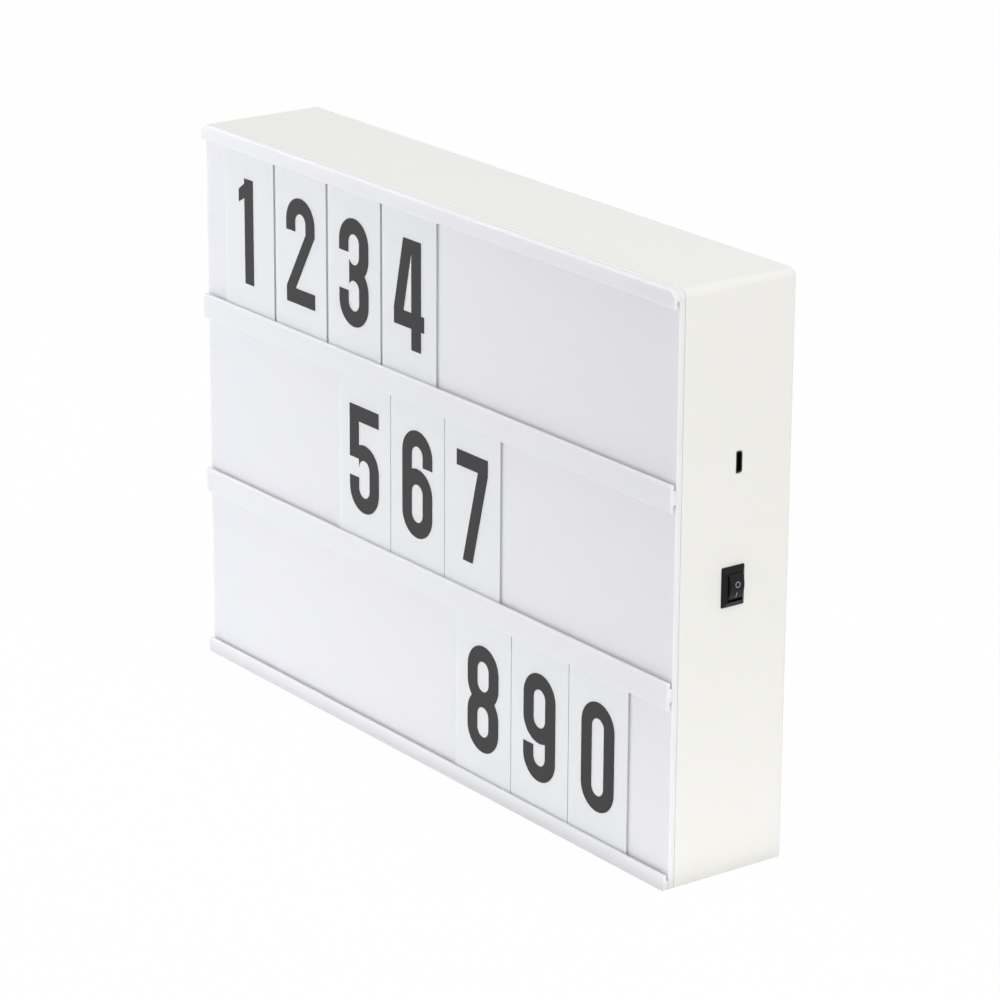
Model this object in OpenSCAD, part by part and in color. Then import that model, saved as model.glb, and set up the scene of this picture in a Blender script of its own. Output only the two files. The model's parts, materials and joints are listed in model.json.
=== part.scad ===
// Cinema light box of A4 size: a battery or plug-in lamp whose milky front panel has rails for
// slide-in character cards.
// Millimetres. +Z is up, the panel faces -Y, +X is the viewer's right. The origin is the centre of
// the base.

/* [Box] */
// Width, left to right
box_w = 300; // [285:1:400]
// Height
box_h = 222; // [215:1:300]
// Depth, from the rail fronts to the back
box_d = 55; // [53:1:80]
// Thickness of the case walls and of the battery door
wall = 2; // [1.8:0.1:2.6]
// Radius of the two top corners, seen from the front
top_corner_r = 3.5; // [2:0.5:6]
// Radius of the two bottom corners, seen from the front
bottom_corner_r = 1; // [0.5:0.5:4]
// Radius round the back edge
back_edge_r = 2; // [0.5:0.5:4]

/* [Front panel] */
// Thickness of the milky panel
panel_t = 2.5; // [2:0.1:4]
// Wall of the rim that centres the panel in the case
rim_t = 1.2; // [1:0.1:2]
// Depth of that rim behind the panel
rim_h = 3; // [2:0.5:6]
// Clearance between the rim and the case
rim_gap = 0.2; // [0.1:0.05:0.4]
// Gap between the panel's back and the case's edge
parting_gap = 0.1; // [0.1:0.1:0.6]

/* [Rails] */
// Depth of the card groove, panel to lip
groove_w = 1; // [0.9:0.1:1.6]
// Thickness of the lip
lip_t = 1.5; // [1.2:0.1:2.5]
// Height of the bottom rail
bottom_rail_h = 6.1; // [5.5:0.1:9]
// Height of each middle rail
middle_rail_h = 10.1; // [9:0.1:14]
// Height of the top rail
top_rail_h = 6.4; // [5.8:0.1:9]
// Depth of a groove that a card stands in
foot_groove = 2.3; // [2:0.1:3]
// Depth of a groove that a card's top edge is held in
head_groove = 2.6; // [2:0.1:3]
// Rounding of the lips' edges
lip_edge_r = 0.4; // [0.2:0.1:0.6]
// Rounding of the top rail's upper front edge
top_rail_r = 2.2; // [0.5:0.1:2.3]

/* [Cards] */
// Width of a card
card_w = 34.9; // [30:0.1:36]
// Thickness of a card
card_t = 0.5; // [0.4:0.05:0.7]
// Gap between a card's bottom edge and its groove
card_seat_gap = 0.1; // [0.05:0.05:0.3]
// Gap between a card's top edge and its groove
card_head_gap = 0.7; // [0.3:0.1:1]
// Gap between a card and the panel behind it
card_back_gap = 0.2; // [0.1:0.05:0.3]
// Height of a digit
digit_h = 42.5; // [36:0.5:50]
// Width of a digit
digit_w = 19.5; // [17:0.5:24]
// Width of a digit's strokes
stroke = 6.2; // [5:0.1:7]
// Thickness of the print
print_t = 0.1; // [0.05:0.05:0.15]
// From the box's left side to the first card of the top row
top_row_start = 14.1; // [5:0.5:20]
// From the box's left side to the first card of the middle row
middle_row_start = 93.1; // [60:0.5:110]
// From the box's left side to the first card of the bottom row
bottom_row_start = 170.9; // [120:0.5:175]
// Gap between the cards of the top row
top_row_gap = 1.4; // [0.2:0.1:1.6]
// Gap between the cards of the other two rows
lower_row_gap = 0.3; // [0.2:0.1:1.6]

/* [Rocker switch] */
// From the panel's face back to the switch's centre
switch_back = 26.2; // [24:0.1:32]
// Height of the switch's centre above the base
switch_z = 110; // [90:1:125]
// Width of the bezel
bezel_w = 10.2; // [10:0.1:13]
// Height of the bezel
bezel_h = 15; // [14:0.1:18]
// How far the bezel stands off the wall
bezel_t = 1.6; // [1:0.1:2]
// Width of the rocker
rocker_w = 6.2; // [5.5:0.1:6.8]
// Half the length of the rocker's face
rocker_half_l = 5.1; // [4.4:0.1:5.2]
// Tilt of the rocker from its middle, each way
rocker_tilt = 10; // [8:1:12]
// Running clearance round the rocker
rocker_gap = 0.2; // [0.15:0.05:0.3]
// Width of the switch's body in the wall
switch_body_w = 8.6; // [8.2:0.1:9]
// Height of the switch's body in the wall
switch_body_h = 13; // [12.8:0.1:13.6]
// Depth of the switch's body behind the wall's outer face
switch_body_d = 10.5; // [10:0.1:13]

/* [Power inlet] */
// From the panel's face back to the inlet's centre
inlet_back = 28; // [26:0.1:32]
// Height of the inlet's centre above the base
inlet_z = 155.5; // [150:0.5:165]
// Height of the opening in the wall
inlet_slot_h = 8.3; // [8:0.1:9]
// Width of the opening in the wall
inlet_slot_w = 2.9; // [2.8:0.1:3.4]
// Height of the receptacle's metal shell
shell_h = 7.5; // [7:0.1:7.8]
// Width of the receptacle's metal shell
shell_w = 2.5; // [2.4:0.1:2.6]
// Length of the receptacle's metal shell
shell_l = 5.6; // [5:0.1:7]
// How far the shell's mouth lies inside the wall's outer face
shell_recess = 0.5; // [0.5:0.1:1.5]

/* [Battery bay] */
// Diameter of an AA cell
cell_d = 14.5; // [14:0.1:14.5]
// Length of an AA cell, without its button
cell_l = 49.5; // [49:0.1:50]
// Number of cells side by side
cell_count = 6; // [2:2:6]
// Distance between neighbouring cells
cell_pitch = 15; // [14.8:0.1:16]
// Room for a contact spring at a cell's flat end
spring_h = 5; // [4:0.1:6]
// Height of the bay's floor above the base
bay_z = 20; // [18:1:30]
// Wall thickness of the bay
bay_wall = 1.5; // [1.2:0.1:2]
// Width of the ledge that the door lies on
door_ledge = 4; // [3:0.5:6]
// Clearance round the door
door_gap = 0.25; // [0.2:0.05:0.4]
// Width of a door hook
hook_w = 10; // [8:1:14]
// Distance of the door hooks from the middle
hook_x = 28; // [16:1:34]
// Width of the door's latch finger
latch_w = 12; // [10:1:16]

/* [Fastening] */
// Distance of the corner screws from the box's sides, top and base
post_inset = 8.5; // [7:0.5:12]
// Radius of the wells that the corner screws lie in
well_r = 3.5; // [3.2:0.1:4]
// Wall of the screw posts
post_wall = 1.2; // [1:0.1:2]
// Distance of the post floors behind the panel
post_floor_back = 10.5; // [9:0.5:14]
// Radius of the pilot holes in the panel's bosses
pilot_r = 1.3; // [1.1:0.1:1.4]
// Distance between the two keyholes
keyhole_pitch = 200; // [160:5:240]
// Height of the keyholes' round openings above the base
keyhole_z = 190; // [150:1:195]
// Radius of a keyhole's round opening
keyhole_r = 4.5; // [4:0.1:5]
// Width of a keyhole's slot
keyhole_slot_w = 4.5; // [4:0.1:5]
// Length of a keyhole's slot above the round opening's centre
keyhole_slot_l = 8.5; // [8:0.5:12]

/* [Lamps] */
// From the screw posts to the end of an LED strip
strip_end_room = 7.8; // [7:0.1:40]
// Width of an LED strip
strip_w = 8; // [6:0.5:12]
// Thickness of an LED strip
strip_t = 1; // [0.6:0.1:1.6]
// Number of LEDs on a strip
led_count = 12; // [4:1:16]
// From the panel's back to the middle of the strips
strip_back = 20.5; // [16:0.5:22]

/* [Hidden] */
$fn = 64;
CASE = "#ECEBE6";
PANEL = "#E9ECF1";
RAIL = "#E0E0E6";
CARD = "#F6F8FA";
INK = "#3A3D3D";
BLACK = "#1C1C1E";
// Overlap that joins two solids of one piece
eps = 0.01;
// How far a cut reaches past the face that it opens
over = 1;

// Depths, front to back
front_y = -box_d / 2;
face_y = front_y + lip_t + groove_w;
part_y = face_y + panel_t;
case_y = part_y + parting_gap;
back_y = box_d / 2;
back_in = back_y - wall;
side_x = box_w / 2;
side_in = side_x - wall;

// Rails: the heights of their lips and the open rows between them
row_open = (box_h - bottom_rail_h - 2 * middle_rail_h - top_rail_h) / 3;
row_z = [for (i = [0:2]) bottom_rail_h + i * (row_open + middle_rail_h)];
card_h = row_open + foot_groove + head_groove - card_seat_gap - card_head_gap;
card_front_y = face_y - card_back_gap - card_t;

// Cards: row from the bottom, place in the row, and the digit on it
CARDS = [
    [2, 0, "1"], [2, 1, "2"], [2, 2, "3"], [2, 3, "4"],
    [1, 0, "5"], [1, 1, "6"], [1, 2, "7"],
    [0, 0, "8"], [0, 1, "9"], [0, 2, "0"],
];
row_start = [bottom_row_start, middle_row_start, top_row_start];
row_gap = [lower_row_gap, lower_row_gap, top_row_gap];
function card_x(card) =
    row_start[card[0]] - side_x + card_w / 2 + card[1] * (card_w + row_gap[card[0]]);
digit_r = digit_w / 2;
digit_leg = 4;

// Rocker switch: its pivot lies behind the wall's outer face
switch_y = face_y + switch_back;
pivot_in = 1.05;
pivot_x = side_x - pivot_in;
rocker_top = 4.1;
rocker_curve_r = 9.5;
rocker_end = rocker_top - rocker_curve_r + sqrt(rocker_curve_r ^ 2 - rocker_half_l ^ 2);
rocker_r = norm([rocker_end, rocker_half_l]);
rocker_room_w = rocker_w + 2 * rocker_gap;
rocker_room_r = rocker_r + rocker_gap;
bezel_foot = 0.4;
bezel_rim = 0.2;
rocker_hub_r = 2;
hub_room = 0.4;
axle_r = 0.9;
axle_l = 1;
axle_play = 0.05;
stem_l = 5.2;
stem_r = 0.8;
stem_seat = axle_r + 0.1;
contact_t = 0.5;
contact_w = 3.6;
contact_h = 7.6;
contact_gap = 0.3;
contact_side_gap = 0.4;
contact_swing = 0.8;
contact_back_gap = 1.2;
knuckle_r = 0.45;
cradle_gap = 0.2;
contact_x = pivot_x - stem_l - contact_gap - contact_t;
terminal_t = 0.8;
terminal_w = 4.8;
terminal_l = 8;
terminal_z = 3.6;
terminal_x = pivot_x + pivot_in - switch_body_d - terminal_l;
switch_fit = 0.2;
mark_t = 0.08;
mark_r = 1.1;
mark_w = 0.35;
mark_out = 2;

// Power inlet
inlet_y = face_y + inlet_back;
shell_t = 0.3;
shell_floor = 1;
tongue_t = 0.6;
tongue_h = 5.2;
tongue_recess = 0.8;
board_l = 18;
board_h = 22;
board_t = 1.2;
board_recess = 2.5;
board_y = inlet_y + shell_w / 2;
board_x = side_x - shell_recess - board_recess;
board_hole_r = 1.2;
board_hole_inset = 3;
board_post_r = 2.6;
board_post_z = board_h / 2 - board_hole_inset;
board_screw_r = 0.95;
board_screw_l = 6;
board_head_r = 1.9;
board_head_h = 1.2;
chip = [4, 1.5, 5];
chip_in = 14;
capacitor = [3.2, 0.6, 1.6];
capacitor_z = 5.5;

// Battery bay and door
plate_t = 0.4;
plate_w = 11.5;
button_h = 1;
button_d = 5.5;
cell_side_gap = 0.4;
cell_end_gap = 0.3;
bay_w = cell_count * cell_pitch + 2;
bay_depth = cell_d + 2 * cell_side_gap;
bay_h = 2 * plate_t + spring_h + cell_l + button_h + cell_end_gap;
bay_y = back_in - bay_depth;
bay_top = bay_z + bay_h;
hook_room = 8;
latch_room = 11.5;
door_z0 = bay_z - hook_room;
door_z1 = bay_top + latch_room;
door_x = bay_w / 2 + door_ledge;
ledge_t = bay_wall;
window_edge = 0.5;
hook_tip_r = 0.8;
hook_tip_gap = 0.1;
hook_pivot = [back_in - hook_tip_r - hook_tip_gap, door_z0 - 1];
hook_clear_r = norm([back_y - hook_pivot[0], door_z0 - hook_pivot[1]]) + 0.2;
hook_t = 1.6;
hook_side_gap = 0.5;
latch_side_gap = 0.4;
latch_window_gap = 1;
latch_notch = 9;
latch_depth = 6;
latch_t = 1;
latch_bend_r = 2.6;
latch_pad_in = 0.6;
latch_pad_gap = 0.3;
latch_ribs = 3;
latch_rib_r = 0.3;
tooth_t = 1.2;
tooth_gap = 0.2;
tooth_reach = 1.2;

// Corner screws
post_floor_y = part_y + post_floor_back;
post_floor_t = 2;
boss_wall = 1.9;
screw_hole_r = 1.6;
screw_head_r = 2.8;
screw_head_h = 2;
screw_r = 1.25;
screw_l = 10;
recess = [3.2, 1, 0.8];
boss_bore = 9;

// Lamps
strip_y = part_y + strip_back;
strip_end = side_x - post_inset - well_r - post_wall - strip_end_room;
led_w = 3.5;
led_d = 2.8;
led_h = 0.8;
led_end = 8;
led_pitch = 2 * (strip_end - led_end) / (led_count - 1);
resistor = [3.2, 1.6, 0.6];

// Leads: the straight run at each end, the sideways bow, and the place beside a strip's end
lead_r = 0.7;
lead_out = 4;
lead_bow = 5;
lead_beside = 5;
lead_z = wall + lead_r + 0.2;

// ---------------------------------------------------------------------------------------------
// Shared shapes
// ---------------------------------------------------------------------------------------------

// What a corner of radius r takes off, in the quadrant around the origin
module corner_waste(r) {
    difference() {
        translate([-over, -over]) square(r + over);
        translate([r, r]) circle(r);
    }
}

// A rectangle with its own radius at each corner: bottom left, bottom right, top right, top left
module soft_rect(w, h, r) {
    difference() {
        square([w, h]);
        if (r[0] > 0) corner_waste(r[0]);
        if (r[1] > 0) translate([w, 0]) mirror([1, 0]) corner_waste(r[1]);
        if (r[2] > 0) translate([w, h]) rotate(180) corner_waste(r[2]);
        if (r[3] > 0) translate([0, h]) mirror([0, 1]) corner_waste(r[3]);
    }
}

// The box's outline as seen from the front, taken in by inset
module outline(inset = 0) {
    least_r = 0.4;
    low = max(bottom_corner_r - inset, least_r);
    high = max(top_corner_r - inset, least_r);
    translate([inset - side_x, inset])
        soft_rect(box_w - 2 * inset, box_h - 2 * inset, [low, low, high, high]);
}

// A shape drawn in X and Z, made solid from y0 to y1
module slab(y0, y1) {
    translate([0, y1, 0]) rotate([90, 0, 0]) linear_extrude(y1 - y0) children();
}

// A shape drawn in Y and Z, made solid over the length l around the middle
module bar(l) {
    translate([-l / 2, 0, 0]) rotate([90, 0, 90]) linear_extrude(l) children();
}

// A rod along Y
module rod_y(r, y0, y1) {
    translate([0, y1, 0]) rotate([90, 0, 0]) cylinder(r = r, h = y1 - y0);
}

// The four corner screws' places
module at_corners() {
    for (x = [-1, 1], z = [post_inset, box_h - post_inset])
        translate([x * (side_x - post_inset), 0, z]) children();
}

function unit(v) = v / norm(v);
function tangent(p, i) = unit(p[min(i + 1, len(p) - 1)] - p[max(i - 1, 0)]);
function normals(p, i, n, found) =
    i == len(p) ? found
    : let (t = tangent(p, i), m = unit(n - (n * t) * t)) normals(p, i + 1, m, concat(found, [m]));

// A round tube along the points p; n is any direction that p doesn't start along
module tube(p, r, n, sides = 8) {
    side = normals(p, 0, n, []);
    rings = [for (i = [0:len(p) - 1], k = [0:sides - 1])
        p[i] + r * (cos(360 * k / sides) * side[i]
            + sin(360 * k / sides) * cross(tangent(p, i), side[i]))];
    last = (len(p) - 1) * sides;
    walls = [for (i = [0:len(p) - 2], k = [0:sides - 1])
        let (a = i * sides + k, b = i * sides + (k + 1) % sides)
        each [[a, a + sides, b + sides], [a, b + sides, b]]];
    ends = [for (k = [1:sides - 2]) each [[0, k, k + 1], [last, last + k + 1, last + k]]];
    polyhedron(rings, concat(walls, ends));
}

// A smooth path through hand-chosen points, with straight ends
function blend(a, b, c, d, t) =
    0.5 * ((2 * b) + (c - a) * t + (2 * a - 5 * b + 4 * c - d) * t * t
        + (3 * b - a - 3 * c + d) * t * t * t);
function route(q, steps = 4) = concat(
    [q[0]],
    [for (i = [1:len(q) - 3], s = [0:steps - 1]) blend(q[i - 1], q[i], q[i + 1], q[i + 2], s / steps)],
    [q[len(q) - 2], q[len(q) - 1]]
);

// ---------------------------------------------------------------------------------------------
// Case
// ---------------------------------------------------------------------------------------------

// The case's outer form: the outline from the front, with the back edge rounded all round
module case_form() {
    d = back_y - case_y;
    intersection() {
        slab(case_y, back_y) outline();
        bar(box_w + 2 * over) translate([case_y, 0])
            soft_rect(d, box_h, [0, back_edge_r, back_edge_r, 0]);
        translate([-side_x, case_y, -over]) linear_extrude(box_h + 2 * over)
            soft_rect(box_w, d, [0, 0, back_edge_r, back_edge_r]);
    }
}

// The battery bay's walls and the ledge that the door lies on
module bay_walls() {
    w = bay_w + 2 * bay_wall;
    translate([-w / 2, bay_y - bay_wall, bay_z - bay_wall])
        cube([w, back_in - bay_y + bay_wall + eps, bay_h + 2 * bay_wall]);
    translate([-door_x - ledge_t, back_in - ledge_t, door_z0 - ledge_t])
        cube([2 * (door_x + ledge_t), ledge_t + eps, door_z1 - door_z0 + 2 * ledge_t]);
}

// The room inside the bay, the door's opening, and the windows for its hooks and its latch
module bay_room() {
    translate([-bay_w / 2, bay_y, bay_z]) cube([bay_w, bay_depth + eps, bay_h]);
    translate([-door_x, back_in, door_z0]) cube([2 * door_x, wall + over, door_z1 - door_z0]);
    low = door_z0 - ledge_t - over;
    for (x = [-hook_x, hook_x])
        translate([x - hook_w / 2 - hook_side_gap, back_in - ledge_t - over, low])
            cube([hook_w + 2 * hook_side_gap, ledge_t + over, bay_z - bay_wall - window_edge - low]);
    translate([-latch_w / 2 - latch_window_gap, back_in - ledge_t - over,
            door_z1 - latch_notch - window_edge])
        cube([latch_w + 2 * latch_window_gap, ledge_t + over, latch_notch + window_edge + ledge_t + over]);
}

// A round opening for a screw's head, with a slot above it for its shank
module keyhole() {
    rod_y(keyhole_r, back_in - over, back_y + over);
    translate([-keyhole_slot_w / 2, back_in - over, 0])
        cube([keyhole_slot_w, wall + 2 * over, keyhole_slot_l]);
    translate([0, 0, keyhole_slot_l]) rod_y(keyhole_slot_w / 2, back_in - over, back_y + over);
}

// The inlet's shape in Y and Z: straight at the front, its rear corners cut
module inlet_shape(w, h) {
    cut = 0.35 * w;
    translate([-w / 2, -h / 2])
        polygon([[0, 0], [w - cut, 0], [w, cut], [w, h - cut], [w - cut, h], [0, h]]);
}

// Places children on the axes of the power board's two screws
module at_board_screws() {
    for (z = [-board_post_z, board_post_z])
        translate([board_x - board_l / 2, 0, inlet_z + z]) children();
}

module case() color(CASE) {
    difference() {
        union() {
            difference() {
                case_form();
                slab(case_y - over, back_in) outline(wall);
            }
            intersection() {
                union() {
                    bay_walls();
                    at_corners() rod_y(well_r + post_wall, post_floor_y, back_in + eps);
                }
                slab(case_y, back_y - wall / 2) outline(wall / 2);
            }
            at_board_screws() rod_y(board_post_r, board_y + board_t, back_in + eps);
        }
        bay_room();
        at_corners() {
            rod_y(well_r, post_floor_y + post_floor_t, back_y + over);
            rod_y(screw_hole_r, post_floor_y - over, post_floor_y + post_floor_t + over);
        }
        at_board_screws()
            rod_y(board_screw_r + 0.05, board_y + board_t - over, board_y + board_t + board_screw_l + 1);
        for (x = [-keyhole_pitch / 2, keyhole_pitch / 2])
            translate([x, 0, keyhole_z]) keyhole();
        translate([side_in - over, switch_y - switch_body_w / 2 - switch_fit,
                switch_z - switch_body_h / 2 - switch_fit])
            cube([wall + 2 * over, switch_body_w + 2 * switch_fit, switch_body_h + 2 * switch_fit]);
        translate([side_x, inlet_y, inlet_z]) bar(2 * (wall + over)) inlet_shape(inlet_slot_w, inlet_slot_h);
    }
}

// ---------------------------------------------------------------------------------------------
// Front panel, rails and cards
// ---------------------------------------------------------------------------------------------

module front_panel() color(PANEL) {
    difference() {
        union() {
            slab(face_y, part_y) outline();
            slab(part_y - eps, part_y + rim_h) difference() {
                outline(wall + rim_gap);
                outline(wall + rim_gap + rim_t);
            }
            intersection() {
                at_corners() rod_y(pilot_r + boss_wall, part_y - eps, post_floor_y);
                slab(face_y, back_y) outline(wall + rim_gap);
            }
        }
        at_corners() rod_y(pilot_r, post_floor_y - boss_bore, post_floor_y + over);
    }
}

// A rail's section in Y and Z, its lip from 0 to h; the web lies between the two grooves
module rail_section(h, below, above, top_r) {
    soft = lip_edge_r;
    difference() {
        union() {
            translate([front_y, 0])
                soft_rect(lip_t, h, [soft, below > 0 ? soft : 0, above > 0 ? soft : 0, 0]);
            translate([front_y + lip_t - eps, below]) square([groove_w + eps, h - below - above]);
        }
        translate([front_y, h]) mirror([0, 1]) corner_waste(top_r);
    }
}

// A rail over the box's full width, its ends rounded with the box's corners
module rail(z, h, below, above, top_r = lip_edge_r) {
    color(RAIL) intersection() {
        bar(box_w + 2 * over) translate([0, z]) rail_section(h, below, above, top_r);
        slab(front_y - over, face_y) outline();
    }
}

module card(i) {
    c = CARDS[i];
    color(CARD)
        translate([card_x(c) - card_w / 2, card_front_y, row_z[c[0]] - foot_groove + card_seat_gap])
            cube([card_w, card_t, card_h]);
}

// ---------------------------------------------------------------------------------------------
// Digits, drawn from the lower left corner
// ---------------------------------------------------------------------------------------------

// A ring with round ends, from height z0 to z1
module loop(z0, z1) {
    r = digit_r;
    translate([0, z0]) difference() {
        soft_rect(digit_w, z1 - z0, [r, r, r, r]);
        translate([stroke, stroke])
            soft_rect(digit_w - 2 * stroke, z1 - z0 - 2 * stroke, [1, 1, 1, 1] * (r - stroke));
    }
}

// A straight stroke between two points on the left edge of the stroke
module slash(a, b) {
    polygon([a, a + [stroke, 0], b + [stroke, 0], b]);
}

module digit_shape(name) {
    h = digit_h;
    w = digit_w;
    s = stroke;
    mid = h / 2;
    leg = digit_leg;
    if (name == "0") loop(0, h);
    if (name == "1") {
        left = (w - s) / 2;
        translate([left, 0]) square([s, h]);
        polygon([[left + s / 2, h], [left + s / 2, h - s], [left - leg, h - s - leg],
            [left - leg, h - leg - 1]]);
    }
    if (name == "2") {
        shoulder = h - digit_r - leg;
        difference() {
            loop(mid - leg, h);
            translate([-over, 0]) square([w + 2 * over, h - digit_r]);
        }
        for (x = [0, w - s]) translate([x, shoulder]) square([s, leg + eps]);
        slash([0, s], [w - s, shoulder]);
        square([w, s + eps]);
    }
    if (name == "3") difference() {
        union() {
            loop(mid - s / 2, h);
            loop(0, mid + s / 2);
        }
        translate([-over, digit_r + leg]) square([s + over + 0.5, h - 2 * (digit_r + leg)]);
    }
    if (name == "4") {
        bar_z = s + leg / 2;
        translate([w - s - leg / 2, 0]) square([s, h]);
        translate([0, bar_z]) square([w, s]);
        slash([0, bar_z + s - eps], [w - 2 * s - leg / 4, h]);
    }
    if (name == "5") {
        translate([0, h - s]) square([w, s]);
        translate([0, mid]) square([s, mid]);
        difference() {
            loop(0, mid + s);
            translate([-over, digit_r + leg]) square([s + over, mid - digit_r - leg]);
        }
    }
    if (name == "6" || name == "9")
        translate(name == "6" ? [0, 0] : [w, h]) rotate(name == "6" ? 0 : 180) {
            loop(0, mid + s);
            difference() {
                loop(mid - s, h);
                translate([-over, 0]) square([w + 2 * over, mid]);
                translate([s + over, mid - s]) square([w, mid + s - digit_r - leg]);
            }
            translate([0, digit_r]) square([s, h - 2 * digit_r]);
        }
    if (name == "7") {
        translate([0, h - s]) square([w, s]);
        slash([leg, 0], [w - s, h - s + eps]);
    }
    if (name == "8") {
        loop(mid - s / 2, h);
        loop(0, mid + s / 2);
    }
}

module card_print(i) {
    c = CARDS[i];
    color(INK) translate([card_x(c) - digit_w / 2, 0, row_z[c[0]] + (row_open - digit_h) / 2])
        slab(card_front_y - print_t, card_front_y) digit_shape(c[2]);
}

// ---------------------------------------------------------------------------------------------
// Rocker switch in the right wall, drawn in X and Z around its pivot
// ---------------------------------------------------------------------------------------------

module at_switch() {
    translate([pivot_x, switch_y, switch_z]) children();
}

module switch_body() color(BLACK) at_switch() {
    w = rocker_room_w;
    r = rocker_room_r;
    difference() {
        union() {
            translate([pivot_in - switch_body_d, -switch_body_w / 2, -switch_body_h / 2])
                cube([switch_body_d + eps, switch_body_w, switch_body_h]);
            bezel();
        }
        intersection() {
            rod_y(r, -w / 2, w / 2);
            translate([-rocker_hub_r - hub_room, -w, -r]) cube([2 * r, 2 * w, 2 * r]);
        }
        rod_y(axle_r + axle_play, -w / 2 - axle_l, w / 2 + axle_l);
        contact_room();
    }
}

// The frame on the wall: a low foot, and four faces that rise to a narrow rim round the rocker
module bezel() {
    mouth = sqrt(rocker_room_r ^ 2 - (pivot_in + bezel_t) ^ 2);
    foot = [pivot_in + bezel_foot, bezel_w / 2, bezel_h / 2];
    rim = [pivot_in + bezel_t, rocker_room_w / 2 + bezel_rim, mouth + bezel_rim];
    translate([pivot_in, -bezel_w / 2, -bezel_h / 2]) cube([bezel_foot + eps, bezel_w, bezel_h]);
    polyhedron(
        [for (c = [foot, rim], s = [[-1, -1], [1, -1], [1, 1], [-1, 1]]) [c[0], s[0] * c[1], s[1] * c[2]]],
        [[0, 1, 2, 3], [7, 6, 5, 4], [0, 4, 5, 1], [1, 5, 6, 2], [2, 6, 7, 3], [3, 7, 4, 0]]
    );
}

// The chamber behind the rocker, where the contact rocks on a cradle round its knuckle
module contact_room() {
    w = contact_w + 2 * contact_side_gap;
    translate([contact_x - pivot_x, 0, 0]) difference() {
        translate([-contact_back_gap, -w / 2, -contact_h / 2 - contact_swing])
            cube([pivot_x - contact_x, w, contact_h + 2 * contact_swing]);
        difference() {
            translate([-contact_back_gap, -w / 2, -2 * knuckle_r])
                cube([contact_back_gap - cradle_gap, w, 4 * knuckle_r]);
            rod_y(knuckle_r + axle_play, -w, w);
        }
    }
}

// The rocker: a face with a gentle curve, between ends that follow its swing
module rocker() color(BLACK) at_switch() rotate([0, rocker_tilt, 0]) {
    slab(-rocker_w / 2, rocker_w / 2) intersection() {
        circle(rocker_r);
        translate([rocker_top - rocker_curve_r, 0]) circle(rocker_curve_r);
        translate([0, -rocker_r]) square([rocker_r, 2 * rocker_r]);
    }
    difference() {
        rod_y(rocker_hub_r, -rocker_w / 2, rocker_w / 2);
        rotate([0, -90, 0]) translate([0, 0, stem_seat]) cylinder(r = stem_r + 0.05, h = rocker_hub_r);
    }
    rod_y(axle_r, -rocker_w / 2 - axle_l, rocker_w / 2 + axle_l);
}

// White marks on the rocker's face: a ring on the upper half and a bar on the lower
module rocker_marks() color("white") at_switch() rotate([0, rocker_tilt, 0]) intersection() {
    translate([rocker_top - rocker_curve_r, 0, 0]) difference() {
        rod_y(rocker_curve_r + mark_t, -rocker_w, rocker_w);
        rod_y(rocker_curve_r, -2 * rocker_w, 2 * rocker_w);
    }
    for (up = [-1, 1])
        translate([0, 0, up * mark_out]) rotate([0, 90, 0]) linear_extrude(rocker_top + over)
            if (up == 1) difference() {
                circle(mark_r);
                circle(mark_r - mark_w);
            }
            else square([2 * mark_r, mark_w], center = true);
}

// A round-ended pin in the rocker's hub, which tips the contact behind it
module rocker_plunger() color("gainsboro") at_switch() rotate([0, rocker_tilt, 0])
    rotate([0, -90, 0]) translate([0, 0, stem_seat]) {
        straight = stem_l - stem_r - stem_seat;
        cylinder(r = stem_r, h = straight);
        translate([0, 0, straight]) sphere(stem_r);
    }

// The see-saw contact under the plunger, tipped to its lower side
module switch_contact() color("#C9A24A") at_switch()
    translate([contact_x - pivot_x, 0, 0]) rotate([0, -rocker_tilt / 2, 0]) {
        translate([0, -contact_w / 2, -contact_h / 2]) cube([contact_t, contact_w, contact_h]);
        rod_y(knuckle_r, -contact_w / 2, contact_w / 2);
    }

module switch_terminals() color("silver") at_switch()
    for (z = [-terminal_z, terminal_z])
        translate([pivot_in - switch_body_d - terminal_l, -terminal_w / 2, z - terminal_t / 2])
            cube([terminal_l, terminal_w, terminal_t]);

// ---------------------------------------------------------------------------------------------
// Power inlet
// ---------------------------------------------------------------------------------------------

module power_board() color("#2E6B3F") difference() {
    translate([board_x - board_l, board_y, inlet_z - board_h / 2]) cube([board_l, board_t, board_h]);
    at_board_screws() rod_y(board_hole_r, board_y - over, board_y + board_t + over);
}

// A chip and two capacitors on the board's front
module power_board_parts() color("#222222") translate([board_x - chip_in, board_y, inlet_z]) {
    translate([0, -chip[1], -chip[2] / 2]) cube(chip);
    for (z = [-capacitor_z, capacitor_z])
        translate([0, -capacitor[1], z - capacitor[2] / 2]) cube(capacitor);
}

module power_board_screws() color("silver") at_board_screws() {
    rod_y(board_screw_r, board_y - eps, board_y + board_t + board_screw_l);
    rod_y(board_head_r, board_y - board_head_h, board_y);
}

// The receptacle's metal shell, open towards the wall, with a floor at its inner end
module inlet_shell() color("silver")
    translate([side_x - shell_recess - shell_l / 2, inlet_y, inlet_z]) difference() {
        bar(shell_l) inlet_shape(shell_w, shell_h);
        translate([shell_floor, 0, 0])
            bar(shell_l) inlet_shape(shell_w - 2 * shell_t, shell_h - 2 * shell_t);
    }

module inlet_tongue() color(BLACK)
    translate([side_x - shell_recess - shell_l + shell_floor, inlet_y - tongue_t / 2,
            inlet_z - tongue_h / 2])
        cube([shell_l - shell_floor - tongue_recess, tongue_t, tongue_h]);

// ---------------------------------------------------------------------------------------------
// Battery bay
// ---------------------------------------------------------------------------------------------

function cell_x(i) = (i - (cell_count - 1) / 2) * cell_pitch;
function cell_up(i) = i % 2 == 0;
cell_y = bay_y + cell_d / 2 + cell_side_gap / 2;

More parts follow.
